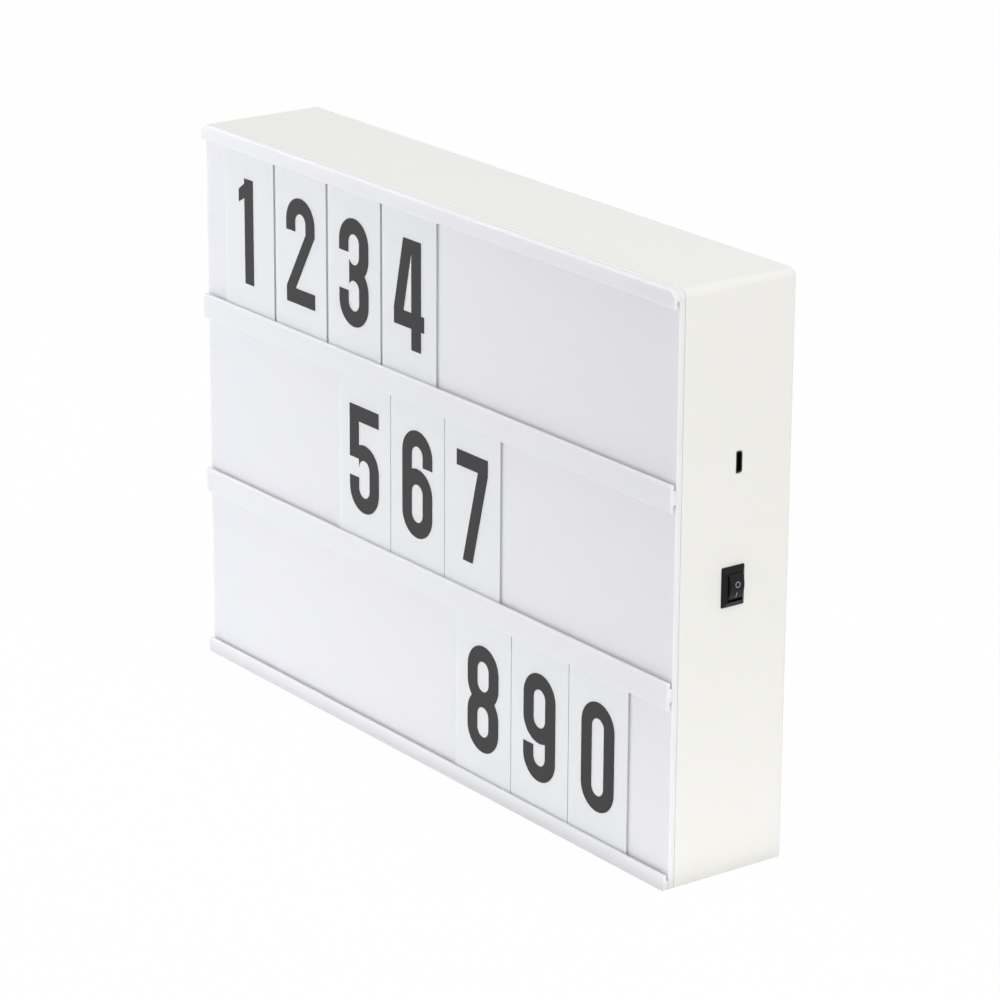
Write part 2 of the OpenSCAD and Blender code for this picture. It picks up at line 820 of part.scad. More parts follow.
// Places children at the cell's flat end, with +Z towards its button
module at_cell(i) {
    if (cell_up(i)) translate([cell_x(i), cell_y, bay_z + plate_t + spring_h]) children();
    else translate([cell_x(i), cell_y, bay_top - plate_t - spring_h]) mirror([0, 0, 1]) children();
}

module cell(i) color(cell_up(i) ? "#4A5A6A" : "#56677A") at_cell(i) {
    cylinder(d = cell_d, h = cell_l);
    translate([0, 0, cell_l - eps]) cylinder(d = button_d, h = button_h + eps);
}

// A conical spring at each cell's flat end, widest on its contact plate
module contact_springs() color("silver") {
    turns = 3;
    wire = 0.4;
    gap = 0.1;
    top_r = 3;
    foot_r = 5;
    steps = 12 * turns;
    for (i = [0:cell_count - 1]) at_cell(i)
        tube([for (s = [0:steps]) let (t = s / steps, r = top_r + t * (foot_r - top_r))
            [r * cos(360 * turns * t), r * sin(360 * turns * t),
             -wire - gap - t * (spring_h - 2 * wire - 2 * gap)]], wire, [1, 0, 0], 6);
}

// Plates that join the cells in a row, end to end, at the bay's floor and top
module contact_plates() color("#D9DADC")
    for (i = [0:cell_count - 1], low = [true, false]) {
        z = low ? bay_z : bay_top - plate_t;
        pair = (i % 2 == 0) == low;
        translate([cell_x(i) - plate_w / 2, cell_y - plate_w / 2, z])
            cube([plate_w + (pair && i < cell_count - 1 ? cell_pitch - plate_w + eps : 0),
                plate_w, plate_t]);
    }

// The door's hook in Y and Z around its pivot: a tip under the wall, and an arm round the wall's edge
module hook_section() {
    reach = hook_clear_r + hook_t;
    circle(hook_tip_r);
    translate([-reach, -hook_tip_r]) square([reach, 2 * hook_tip_r]);
    intersection() {
        difference() {
            circle(reach);
            circle(hook_clear_r);
        }
        translate([-reach, 0]) square([reach + back_in - hook_pivot[0] + wall / 2, reach]);
    }
}

module battery_door() color(CASE) difference() {
    union() {
        bar(2 * (door_x - door_gap)) difference() {
            translate([back_in, door_z0]) square([wall, door_z1 - door_z0 - door_gap]);
            translate(hook_pivot) circle(hook_clear_r);
        }
        for (x = [-hook_x, hook_x]) translate([x, 0, 0])
            bar(hook_w) translate(hook_pivot) hook_section();
    }
    translate([-latch_w / 2 - latch_side_gap, back_in - over, door_z1 - latch_notch])
        cube([latch_w + 2 * latch_side_gap, wall + 2 * over, latch_notch + over]);
}

// The spring finger in the door's notch: a bend inside, a finger pad, and a tooth under the wall
module door_latch() color(CASE) translate([0, back_in, door_z1 - latch_notch]) bar(latch_w) {
    top = 2 * latch_bend_r;
    for (z = [0, top - latch_t]) translate([-latch_depth, z]) square([latch_depth + wall, latch_t]);
    translate([-latch_depth, latch_bend_r]) intersection() {
        difference() {
            circle(latch_bend_r);
            circle(latch_bend_r - latch_t);
        }
        translate([-latch_bend_r, -latch_bend_r]) square([latch_bend_r + eps, top]);
    }
    difference() {
        translate([latch_pad_in, top - eps])
            square([wall - latch_pad_in, latch_notch - top - door_gap - latch_pad_gap]);
        for (i = [1:latch_ribs]) translate([wall, top + i - 0.1]) circle(latch_rib_r);
    }
    translate([-tooth_gap - tooth_t, top - eps]) square([tooth_t, latch_notch - top + tooth_reach]);
    translate([-tooth_gap - eps, top - eps]) square([latch_pad_in + tooth_gap + 2 * eps, latch_t]);
}

module case_screws() color("silver") at_corners() {
    head_y = post_floor_y + post_floor_t;
    difference() {
        union() {
            rod_y(screw_head_r, head_y, head_y + screw_head_h);
            rod_y(screw_r, head_y - screw_l, head_y + eps);
        }
        for (a = [0, 90]) rotate([0, a, 0])
            translate([-recess[0] / 2, head_y + screw_head_h - recess[1], -recess[2] / 2])
                cube([recess[0], recess[1] + over, recess[2]]);
    }
}

// ---------------------------------------------------------------------------------------------
// Lamps and leads
// ---------------------------------------------------------------------------------------------

// Places children under the inner face of the top wall, or over that of the bottom wall
module at_strip(upper) {
    if (upper) translate([0, strip_y, box_h - wall]) mirror([0, 0, 1]) children();
    else translate([0, strip_y, wall]) children();
}

module led_strip(upper) color("#F3F3F0") at_strip(upper)
    translate([-strip_end, -strip_w / 2, 0]) cube([2 * strip_end, strip_w, strip_t]);

module leds(upper) color("#F0E6B0") at_strip(upper)
    for (i = [0:led_count - 1])
        translate([(i - (led_count - 1) / 2) * led_pitch - led_w / 2, -led_d / 2, strip_t])
            cube([led_w, led_d, led_h]);

module strip_resistors() color("#26262A")
    for (upper = [true, false]) at_strip(upper)
        for (i = [1:3:led_count - 2])
            translate([(i + 0.5 - (led_count - 1) / 2) * led_pitch, 0, strip_t])
                translate([-resistor[0] / 2, -resistor[1] / 2, 0]) cube(resistor);

function between(a, b, t) = a + t * (b - a);

module lead(points, n) {
    tube(route(points), lead_r, n);
}

// A lead from the bay's side wall at height z to the point b, straight along X at both ends
module bay_lead(z, b, bow) {
    a = [bay_w / 2 + bay_wall, bay_y + lead_out, z];
    lead([a, a + [lead_out, 0, 0], between(a, b, 0.25) + bow, between(a, b, 0.6) + bow,
        b - [3 * lead_out, 0, 0], b - [lead_out, 0, 0], b], [0, 0, 1]);
}

// From the bay's side wall to the switch's upper terminal
module battery_lead() color("#B3262B")
    bay_lead(bay_top - 2 * lead_out, [terminal_x, switch_y, switch_z + terminal_z], [0, -lead_bow, 0]);

// From the bay's side wall to the power board's left edge
module board_lead() color("#26262A")
    bay_lead(bay_z + 2 * lead_out, [board_x - board_l, board_y + board_t / 2, inlet_z], [0, lead_bow, 0]);

// From the switch's lower terminal round to the right end of the lower strip
module switch_lead() color("#B3262B") {
    a = [terminal_x, switch_y, switch_z - terminal_z];
    b = [strip_end, strip_y, lead_z];
    foot = b + [lead_beside, 0, 0];
    lead([a, a - [lead_out, 0, 0], between(a, foot, 0.2) - [2 * lead_out, 0, 0],
        between(a, foot, 0.6) - [lead_out, 0, 0], foot + [0, 0, 5 * lead_out], foot + [0, 0, lead_out],
        b + [lead_beside / 2, 0, 0], b], [0, 1, 0]);
}

// Joins the two strips' left ends, down the left wall
module strip_lead() color("#26262A") {
    a = [-strip_end, strip_y, box_h - lead_z];
    b = [-strip_end, strip_y, lead_z];
    side = [-lead_beside, 0, 0];
    out = [0, 0, lead_out];
    lead([a, a + side / 2, a + side - out, a + side - 5 * out,
        between(a, b, 0.5) + side + [-lead_bow, lead_bow, 0],
        b + side + 5 * out, b + side + out, b + side / 2, b], [0, 1, 0]);
}

// ---------------------------------------------------------------------------------------------
// The nodes
// ---------------------------------------------------------------------------------------------

case();
front_panel();
rail(box_h - top_rail_h, top_rail_h, head_groove, 0, top_rail_r);  // top_rail
rail(row_z[2] - middle_rail_h, middle_rail_h, head_groove, foot_groove);  // upper_middle_rail
rail(row_z[1] - middle_rail_h, middle_rail_h, head_groove, foot_groove);  // lower_middle_rail
rail(0, bottom_rail_h, 0, foot_groove);  // bottom_rail
for (i = [0:len(CARDS) - 1]) {
    card(i);
    card_print(i);
}
switch_body();
rocker();
rocker_marks();
rocker_plunger();
switch_contact();
switch_terminals();
power_board();
power_board_parts();
power_board_screws();
inlet_shell();
inlet_tongue();
for (i = [0:cell_count - 1])
    cell(i);
contact_springs();
contact_plates();
battery_door();
door_latch();
case_screws();
led_strip(true);  // upper_led_strip
led_strip(false);  // lower_led_strip
leds(true);  // upper_leds
leds(false);  // lower_leds
strip_resistors();
battery_lead();
board_lead();
switch_lead();
strip_lead();
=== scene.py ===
"""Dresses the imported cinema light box: its modelled pieces, their finishes, and the studio around it."""

import json
import logging
import math
from collections.abc import Callable, Iterator, Mapping, Sequence
from contextlib import contextmanager
from dataclasses import dataclass, field
from enum import Enum

import bmesh
import bpy
from mathutils import Matrix, Vector

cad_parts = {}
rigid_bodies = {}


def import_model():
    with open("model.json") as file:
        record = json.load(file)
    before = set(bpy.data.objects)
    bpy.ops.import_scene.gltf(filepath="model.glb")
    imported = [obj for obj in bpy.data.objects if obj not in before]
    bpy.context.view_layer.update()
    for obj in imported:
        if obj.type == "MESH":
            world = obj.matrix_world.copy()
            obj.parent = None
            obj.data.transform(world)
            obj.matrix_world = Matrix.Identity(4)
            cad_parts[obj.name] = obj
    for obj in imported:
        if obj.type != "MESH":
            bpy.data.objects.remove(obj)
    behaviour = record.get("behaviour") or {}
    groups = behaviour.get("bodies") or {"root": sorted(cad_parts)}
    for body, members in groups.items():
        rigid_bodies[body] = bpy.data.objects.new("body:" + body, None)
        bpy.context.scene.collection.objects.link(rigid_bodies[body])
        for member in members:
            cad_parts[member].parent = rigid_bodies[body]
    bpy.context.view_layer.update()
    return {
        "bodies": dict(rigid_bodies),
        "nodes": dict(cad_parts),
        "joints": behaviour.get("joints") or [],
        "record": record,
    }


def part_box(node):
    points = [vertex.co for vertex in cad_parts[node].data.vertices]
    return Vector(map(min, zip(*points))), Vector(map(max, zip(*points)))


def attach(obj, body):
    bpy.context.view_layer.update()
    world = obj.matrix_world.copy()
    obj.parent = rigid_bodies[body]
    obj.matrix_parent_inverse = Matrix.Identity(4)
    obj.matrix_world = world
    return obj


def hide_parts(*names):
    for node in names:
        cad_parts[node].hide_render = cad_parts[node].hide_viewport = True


LOG = logging.getLogger("light_box")
MM = 0.001
NEAR = 0.02

Point = Sequence[float]
EdgeTest = Callable[[Vector, Vector], bool]
Socket = bpy.types.NodeSocket


# --------------------------------------------------------------------------------------------------
# Modelling by hand
# --------------------------------------------------------------------------------------------------


class Combine(Enum):
    """What a boolean does with its tool."""

    CUT = "DIFFERENCE"
    JOIN = "UNION"
    KEEP = "INTERSECT"


def metres(point: Point) -> Vector:
    """Turns a place in millimetres into metres."""
    return Vector(point) * MM


def activate(piece: bpy.types.Object, *others: bpy.types.Object) -> None:
    """Selects only these objects and makes the first one active."""
    bpy.ops.object.select_all(action="DESELECT")
    for one in (piece, *others):
        one.select_set(True)
    bpy.context.view_layer.objects.active = piece


def keep_primitive(name: str) -> bpy.types.Object:
    """Names the primitive just added and puts its place, turn and size into its mesh."""
    piece = bpy.context.active_object
    piece.name = name
    piece.data.name = name
    bpy.ops.object.transform_apply(location=True, rotation=True, scale=True)
    return piece


def block(name: str, low: Point, high: Point) -> bpy.types.Object:
    """Adds a cube between two corners.

    Args:
        name: The piece's name.
        low: Lowest corner in millimetres.
        high: Highest corner in millimetres.

    Returns:
        The new object.
    """
    bpy.ops.object.select_all(action="DESELECT")
    a, b = metres(low), metres(high)
    bpy.ops.mesh.primitive_cube_add(size=1, location=(a + b) / 2, scale=b - a)
    return keep_primitive(name)


def rod(name: str, radius: float, start: Point, end: Point, sides: int = 48) -> bpy.types.Object:
    """Adds a round rod between two points.

    Args:
        name: The piece's name.
        radius: Its radius in millimetres.
        start: Centre of its first end in millimetres.
        end: Centre of its other end in millimetres.
        sides: Number of flats round it.

    Returns:
        The new object.
    """
    bpy.ops.object.select_all(action="DESELECT")
    a, b = metres(start), metres(end)
    turn = (b - a).to_track_quat("Z", "Y").to_euler()
    bpy.ops.mesh.primitive_cylinder_add(
        vertices=sides, radius=radius * MM, depth=(b - a).length, location=(a + b) / 2, rotation=turn
    )
    return keep_primitive(name)


def combine(how: Combine, piece: bpy.types.Object, *tools: bpy.types.Object) -> bpy.types.Object:
    """Joins other solids to a piece, cuts them from it, or keeps what they share, and removes them.

    Args:
        how: What to do.
        piece: The piece that is changed.
        tools: The solids that change it.

    Returns:
        The changed piece.
    """
    for tool in tools:
        activate(piece)
        change = piece.modifiers.new("shape", "BOOLEAN")
        change.operation = how.value
        change.solver = "EXACT"
        change.object = tool
        bpy.ops.object.modifier_apply(modifier=change.name)
        bpy.data.objects.remove(tool)
    return piece


def runs(along: str, **at: float | tuple[float, ...]) -> EdgeTest:
    """Makes a test for the straight edges along one axis at given places.

    Args:
        along: The axis, x, y or z.
        at: For each other axis, the place or places of the edges in millimetres.

    Returns:
        A test that takes an edge's two ends in millimetres.
    """
    axis = "xyz".index(along)
    places = {"xyz".index(k): v if isinstance(v, tuple) else (v,) for k, v in at.items()}

    def picks(a: Vector, b: Vector) -> bool:
        """Whether the edge from a to b is one of them."""
        straight = abs((b - a).normalized()[axis]) > 0.9999
        return straight and all(
            min(abs(end[i] - place) for place in options) < NEAR
            for i, options in places.items()
            for end in (a, b)
        )

    return picks


def around(axis: str, *levels: float) -> EdgeTest:
    """Makes a test for the edges that lie in a plane across one axis, such as a whole outline.

    Args:
        axis: The axis, x, y or z.
        levels: The planes' places in millimetres.

    Returns:
        A test that takes an edge's two ends in millimetres.
    """
    i = "xyz".index(axis)
    return lambda a, b: any(max(abs(a[i] - at), abs(b[i] - at)) < NEAR for at in levels)


def soften(
    piece: bpy.types.Object, *rules: tuple[EdgeTest, float], segments: int = 5
) -> bpy.types.Object:
    """Rounds the edges that each rule picks, each with its own radius.

    Args:
        piece: The piece to round.
        rules: Pairs of an edge test and a radius in millimetres.
        segments: Number of faces in each rounding.

    Returns:
        The same piece.
    """
    mesh = piece.data
    largest = max(radius for _, radius in rules)
    weights = mesh.attributes.new("bevel_weight_edge", "FLOAT", "EDGE")
    for edge in mesh.edges:
        a, b = (mesh.vertices[i].co / MM for i in edge.vertices)
        for picks, radius in rules:
            if picks(a, b):
                weights.data[edge.index].value = radius / largest
    activate(piece)
    rounding = piece.modifiers.new("soft edges", "BEVEL")
    rounding.limit_method = "WEIGHT"
    rounding.width = largest * MM
    rounding.segments = segments
    rounding.use_clamp_overlap = False
    bpy.ops.object.modifier_apply(modifier=rounding.name)
    left = mesh.attributes.get("bevel_weight_edge")
    if left:
        mesh.attributes.remove(left)
    return piece


@contextmanager
def editing(piece: bpy.types.Object) -> Iterator[None]:
    """Opens a piece in edit mode with nothing selected, and closes it again."""
    activate(piece)
    bpy.ops.object.mode_set(mode="EDIT")
    bpy.ops.mesh.select_mode(type="FACE")
    bpy.ops.mesh.select_all(action="DESELECT")
    yield
    bpy.ops.object.mode_set(mode="OBJECT")


def pick_faces(
    piece: bpy.types.Object, way: Point, low: Point | None = None, high: Point | None = None
) -> list[Vector]:
    """Selects the faces that look one way and whose middle lies in a box, in edit mode.

    Args:
        piece: The piece that is open in edit mode.
        way: The direction that the faces look in.
        low: Lowest corner of the box in millimetres, or None for no limit.
        high: Highest corner of the box in millimetres, or None for no limit.

    Returns:
        The corners of the selected faces in metres.
    """
    mesh = bmesh.from_edit_mesh(piece.data)
    corners = []
    for face in mesh.faces:
        middle = face.calc_center_median() / MM
        inside = (low is None or all(m > a for m, a in zip(middle, low))) and (
            high is None or all(m < b for m, b in zip(middle, high))
        )
        chosen = inside and face.normal.dot(Vector(way)) > 0.999
        face.select_set(chosen)
        if chosen:
            corners += [v.co.copy() for v in face.verts]
    bmesh.update_edit_mesh(piece.data)
    return corners


def flare(tool: bpy.types.Object, way: Point, radius: float, steps: int = 4) -> bpy.types.Object:
    """Widens a cutter's end in a quarter round, so that the hole it cuts has a soft rim.

    The cutter ends one radius short of the surface that it opens.

    Args:
        tool: The cutter.
        way: The direction in which the cutter leaves the surface.
        radius: Radius of the rim in millimetres.
        steps: Number of faces in the rounding.

    Returns:
        The same cutter.
    """
    out = Vector(way)
    with editing(tool):
        corners = pick_faces(tool, way)
        far = max(c.dot(out) for c in corners)
        ends = [c for c in corners if c.dot(out) > far - NEAR * MM]
        low = Vector([min(c[i] for c in ends) for i in range(3)])
        high = Vector([max(c[i] for c in ends) for i in range(3)])
        pick_faces(tool, way, *(
            [(p + s * Vector((1, 1, 1)) * MM) / MM for p, s in ((low, -1), (high, 1))]
        ))
        size, middle, at = high - low, (low + high) / 2, 0.0
        for step in range(1, steps + 1):
            turn = math.pi / 2 * step / steps
            move = radius * math.sin(turn) - at
            at += move
            wide = 2 * radius * (1 - math.cos(turn)) * MM
            grown = [s + wide if s > 1e-7 else s for s in high - low]
            bpy.ops.mesh.extrude_region_move(TRANSFORM_OT_translate={"value": out * move * MM})
            bpy.ops.transform.resize(
                value=[g / s if s > 1e-7 else 1 for g, s in zip(grown, size)], center_override=middle
            )
            size = Vector(grown)
        bpy.ops.mesh.extrude_region_move(TRANSFORM_OT_translate={"value": out * MM})
    return tool


def copied(piece: bpy.types.Object, name: str, move: Vector) -> bpy.types.Object:
    """Copies a piece with its own mesh and moves the copy, in metres."""
    activate(piece)
    bpy.ops.object.duplicate(linked=False)
    bpy.ops.transform.translate(value=move)
    return keep_primitive(name)


def tube(name: str, path: Sequence[Point], radius: float, sides: int = 4) -> bpy.types.Object:
    """Makes a smooth round tube along a path.

    Args:
        name: The piece's name.
        path: Points in millimetres.
        radius: Radius of the tube in millimetres.
        sides: Blender's bevel resolution, where 4 gives 12 flats.

    Returns:
        The new mesh object.
    """
    curve = bpy.data.curves.new(name, "CURVE")
    curve.dimensions = "3D"
    curve.bevel_depth = radius * MM
    curve.bevel_resolution = sides
    curve.use_fill_caps = True
    line = curve.splines.new("POLY")
    line.points.add(len(path) - 1)
    for place, point in zip(line.points, path):
        place.co = (*metres(point), 1)
    made = bpy.data.objects.new(name, curve)
    bpy.context.scene.collection.objects.link(made)
    activate(made)
    bpy.ops.object.convert(target="MESH")
    with editing(made):
        bpy.ops.mesh.select_all(action="SELECT")
        bpy.ops.mesh.remove_doubles(threshold=1e-6)
        bpy.ops.mesh.normals_make_consistent(inside=False)
    return made


def hand_over(
    piece: bpy.types.Object,
    finish: bpy.types.Material,
    slot: str,
    body: str,
    *nodes: str,
    crease: float = 32,
) -> None:
    """slot: The record's material slot that the finish comes from; not used.
        body: The body that it moves with.
        nodes: The CAD nodes that it stands for.
        crease: Angle in degrees above which an edge stays sharp.
    """
    activate(piece)
    bpy.ops.object.shade_smooth_by_angle(angle=math.radians(crease))
    even = piece.modifiers.new("even normals", "WEIGHTED_NORMAL")
    even.keep_sharp = True
    even.weight = 100
    bpy.ops.object.modifier_apply(modifier=even.name)
    if not piece.data.materials:
        piece.data.materials.append(finish)
    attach(piece, body)
    if nodes:
        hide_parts(*nodes)
    LOG.info("%s on %s: %d faces", piece.name, body, len(piece.data.polygons))


# --------------------------------------------------------------------------------------------------
# Finishes
# --------------------------------------------------------------------------------------------------


def linear(hex_colour: str) -> tuple[float, float, float, float]:
    """Turns an sRGB hex colour into linear red, green, blue and alpha."""
    parts = [int(hex_colour[i : i + 2], 16) / 255 for i in (1, 3, 5)]
    r, g, b = (p / 12.92 if p <= 0.04045 else ((p + 0.055) / 1.055) ** 2.4 for p in parts)
    return r, g, b, 1.0


def add_node(
    tree: bpy.types.NodeTree,
    kind: str,
    sockets: Mapping[str | int, object] | None = None,
    **settings: object,
) -> bpy.types.Node:
    """Adds a node with its settings, and sets or links its inputs.

    Args:
        tree: The node tree.
        kind: The node's type.
        sockets: For each input, a value, or the output that feeds it.
        settings: The node's own properties.

    Returns:
        The new node.
    """
    made = tree.nodes.new(kind)
    for name, value in settings.items():
        setattr(made, name, value)
    for key, value in (sockets or {}).items():
        if isinstance(value, Socket):
            tree.links.new(value, made.inputs[key])
        else:
            made.inputs[key].default_value = value
    return made


def new_tree(name: str) -> tuple[bpy.types.Material, bpy.types.NodeTree]:
    """Makes an empty node material."""
    material = bpy.data.materials.new(name)
    material.use_nodes = True
    material.node_tree.nodes.clear()
    return material, material.node_tree


def tinted(tree: bpy.types.NodeTree, amount: Socket, low: str, high: str) -> Socket:
    """Blends two hex colours by an amount from 0 to 1."""
    ramp = add_node(tree, "ShaderNodeValToRGB", {0: amount})
    ramp.color_ramp.elements[0].color = linear(low)
    ramp.color_ramp.elements[1].color = linear(high)
    return ramp.outputs["Color"]


def spread(tree: bpy.types.NodeTree, amount: Socket, low: float, high: float) -> Socket:
    """Maps an amount from 0 to 1 to a range."""
    return add_node(
        tree, "ShaderNodeMapRange", {"Value": amount, "To Min": low, "To Max": high}
    ).outputs["Result"]


def object_place(tree: bpy.types.NodeTree, stretch: Point = (1, 1, 1)) -> Socket:
    """Object coordinates in metres, stretched along each axis."""
    place = add_node(tree, "ShaderNodeTexCoord").outputs["Object"]
    return add_node(tree, "ShaderNodeMapping", {"Vector": place, "Scale": tuple(stretch)}).outputs[0]


@dataclass(frozen=True)
class MouldedPlastic:
    """Injection-moulded thermoplastic, its mould fine spark-eroded or polished.

    The eye gets an even colour with a faint flow tone, and small soft highlights broken by the
    mould's texture.
    """

    name: str
    colour: str
    flow: str
    roughness: tuple[float, float]
    grain: float = 0.45
    depth: float = 0.012
    ior: float = 1.53
    stretch: tuple[float, float, float] = (1, 1, 1)
    cover: float = 1.0
    scatter: float = 0.0
    shine: float = 0.5

    def build(self) -> bpy.types.Material:
        """Makes the material.

        Returns:
            The material, its grain as wide as the real texture's coarsest marks in millimetres.
        """
        material, tree = new_tree(self.name)
        place = object_place(tree, self.stretch)
        flow = add_node(
            tree, "ShaderNodeTexNoise", {"Vector": place, "Scale": 9.0, "Detail": 3.0}
        ).outputs[0]
        grain = add_node(
            tree, "ShaderNodeTexNoise", {"Vector": place, "Scale": 1 / (self.grain * MM), "Detail": 2.0}
        ).outputs[0]
        bump = add_node(
            tree,
            "ShaderNodeBump",
            {"Height": grain, "Strength": 0.6, "Distance": self.depth * MM},
        ).outputs[0]
        shader = add_node(
            tree,
            "ShaderNodeBsdfPrincipled",
            {
                "Base Color": tinted(tree, flow, self.flow, self.colour),
                "Roughness": spread(tree, grain, *self.roughness),
                "IOR": self.ior,
                "Alpha": self.cover,
                "Specular IOR Level": self.shine,
                "Normal": bump,
            },
        )
        if self.scatter:
            shader.inputs["Subsurface Weight"].default_value = self.scatter
            shader.inputs["Subsurface Radius"].default_value = (1.0, 1.0, 1.0)
            shader.inputs["Subsurface Scale"].default_value = 1.5 * MM
        add_node(tree, "ShaderNodeOutputMaterial", {0: shader.outputs[0]})
        return material


@dataclass(frozen=True)
class BrushedMetal:
    """Stamped or drawn metal, plated, with fine marks along one direction.

    The eye gets a bright sheen that is drawn out across the marks, and slight tarnish.
    """

    name: str
    colour: str
    tarnish: str
    roughness: tuple[float, float]
    stretch: tuple[float, float, float] = (1, 1, 8)
    mark: float = 0.3

    def build(self) -> bpy.types.Material:
        """Makes the material, its marks as far apart as the real ones in millimetres."""
        material, tree = new_tree(self.name)
        place = object_place(tree, self.stretch)
        marks = add_node(
            tree, "ShaderNodeTexNoise", {"Vector": place, "Scale": 1 / (self.mark * MM), "Detail": 4.0}
        ).outputs[0]
        cloud = add_node(
            tree, "ShaderNodeTexNoise", {"Vector": object_place(tree), "Scale": 120.0}
        ).outputs[0]
        bump = add_node(
            tree, "ShaderNodeBump", {"Height": marks, "Strength": 0.3, "Distance": 0.01 * MM}
        ).outputs[0]
        shader = add_node(
            tree,
            "ShaderNodeBsdfPrincipled",
            {
                "Base Color": tinted(tree, cloud, self.tarnish, self.colour),
                "Metallic": 1.0,
                "Roughness": spread(tree, marks, *self.roughness),
                "Normal": bump,
            },
        )
        add_node(tree, "ShaderNodeOutputMaterial", {0: shader.outputs[0]})
        return material


@dataclass(frozen=True)
class PrintedInk:
    """Solvent ink screened on clear sheet, glossy and near black.

    The eye gets a black that mirrors the room and shows faint uneven coverage.
    """

    name: str = "screened_black_ink"
    colour: str = "#0C0D0E"
    thin: str = "#121314"
    roughness: tuple[float, float] = (0.07, 0.11)
    cloud: float = 6.0

    def build(self) -> bpy.types.Material:
        """Makes the material, its coverage clouds 6 mm wide."""
        material, tree = new_tree(self.name)
        clouds = add_node(
            tree,
            "ShaderNodeTexNoise",
            {"Vector": object_place(tree), "Scale": 1 / (self.cloud * MM), "Detail": 3.0},
        ).outputs[0]
        shader = add_node(
            tree,
            "ShaderNodeBsdfPrincipled",
            {
                "Base Color": tinted(tree, clouds, self.colour, self.thin),
                "Roughness": spread(tree, clouds, *self.roughness),
                "IOR": 1.45,
            },
        )
        add_node(tree, "ShaderNodeOutputMaterial", {0: shader.outputs[0]})
        return material


@dataclass(frozen=True)
class BandedSleeve:
    """Shrunk printed sleeve of a battery cell, plain, its positive end a lighter band.

    The eye gets a glossy film in two tones with a soft line where they meet.
    """

    name: str
    band_from: float
    up: bool
    body: str = "#3A4652"
    band: str = "#B07B46"

    def build(self) -> bpy.types.Material:
        """Makes the material, its band starting at a height in millimetres."""
        material, tree = new_tree(self.name)
        place = add_node(tree, "ShaderNodeTexCoord").outputs["Object"]
        height = add_node(tree, "ShaderNodeSeparateXYZ", {0: place}).outputs["Z"]
        edge = (self.band_from - 0.15, self.band_from + 0.15)
        low, high = edge if self.up else edge[::-1]
        amount = add_node(
            tree,
            "ShaderNodeMapRange",
            {"Value": height, "From Min": low * MM, "From Max": high * MM},
        ).outputs["Result"]
        fine = add_node(
            tree, "ShaderNodeTexNoise", {"Vector": object_place(tree), "Scale": 900.0}
        ).outputs[0]
        shader = add_node(
            tree,
            "ShaderNodeBsdfPrincipled",
            {
                "Base Color": tinted(tree, amount, self.body, self.band),
                "Roughness": spread(tree, fine, 0.22, 0.32),
                "IOR": 1.5,
            },
        )
        add_node(tree, "ShaderNodeOutputMaterial", {0: shader.outputs[0]})
        return material


@dataclass(frozen=True)
class LampWindow:
    """White moulded LED housing with a round window of yellow phosphor gel.

    The eye gets a pale body with a yellow disc in the middle of each lamp.
    """

    name: str
    pitch: float
    middle_y: float
    window: float = 1.05

    def build(self) -> bpy.types.Material:
        """Makes the material, its discs one lamp pitch apart in millimetres."""
        material, tree = new_tree(self.name)
        place = add_node(tree, "ShaderNodeTexCoord").outputs["Object"]
        split = add_node(tree, "ShaderNodeSeparateXYZ", {0: place})
        wrapped = add_node(
            tree,
            "ShaderNodeMath",
            {0: split.outputs["X"], 1: self.pitch * MM / 2, 2: -self.pitch * MM / 2},
            operation="WRAP",
        )
        beside = add_node(
            tree,
            "ShaderNodeMath",
            {0: split.outputs["Y"], 1: self.middle_y * MM},
            operation="SUBTRACT",
        )
        away = add_node(
            tree,
            "ShaderNodeCombineXYZ",
            {0: self.off_centre(tree, wrapped.outputs[0]), 1: beside.outputs[0]},
        )
        reach = add_node(tree, "ShaderNodeVectorMath", {0: away.outputs[0]}, operation="LENGTH")
        amount = add_node(
            tree,
            "ShaderNodeMapRange",
            {
                "Value": reach.outputs["Value"],
                "From Min": (self.window - 0.1) * MM,
                "From Max": (self.window + 0.1) * MM,
            },
        ).outputs["Result"]
        shader = add_node(
            tree,
            "ShaderNodeBsdfPrincipled",
            {
                "Base Color": tinted(tree, amount, "#E8C94A", "#F1EFE6"),
                "Roughness": spread(tree, amount, 0.18, 0.45),
            },
        )
        add_node(tree, "ShaderNodeOutputMaterial", {0: shader.outputs[0]})
        return material

    def off_centre(self, tree: bpy.types.NodeTree, wrapped: Socket) -> Socket:
        """Moves the wrapped distance by half a pitch, where the lamps' middles lie."""
        size = add_node(tree, "ShaderNodeMath", {0: wrapped}, operation="ABSOLUTE").outputs[0]
        return add_node(
            tree, "ShaderNodeMath", {0: self.pitch * MM / 2, 1: size}, operation="SUBTRACT"
        ).outputs[0]


@dataclass(frozen=True)
class SolderMask:
    """Cured liquid solder mask over copper tracks on glass-epoxy board.

    The eye gets a glossy film, a little lighter over the tracks.
    """

    name: str
    colour: str
    track: str
    pitch: float = 2.4

    def build(self) -> bpy.types.Material:
        """Makes the material, its tracks 2.4 mm apart."""
        material, tree = new_tree(self.name)
        lines = add_node(
            tree,
            "ShaderNodeTexVoronoi",
            {"Vector": object_place(tree), "Scale": 1 / (self.pitch * MM)},
            distance="MANHATTAN",
            feature="F1",
        ).outputs["Distance"]
        amount = add_node(
            tree, "ShaderNodeMapRange", {"Value": lines, "From Min": 0.42, "From Max": 0.46}
        ).outputs["Result"]
        shader = add_node(
            tree,
            "ShaderNodeBsdfPrincipled",
            {
                "Base Color": tinted(tree, amount, self.colour, self.track),
                "Roughness": spread(tree, amount, 0.32, 0.24),
            },
        )
        add_node(tree, "ShaderNodeOutputMaterial", {0: shader.outputs[0]})
        return material


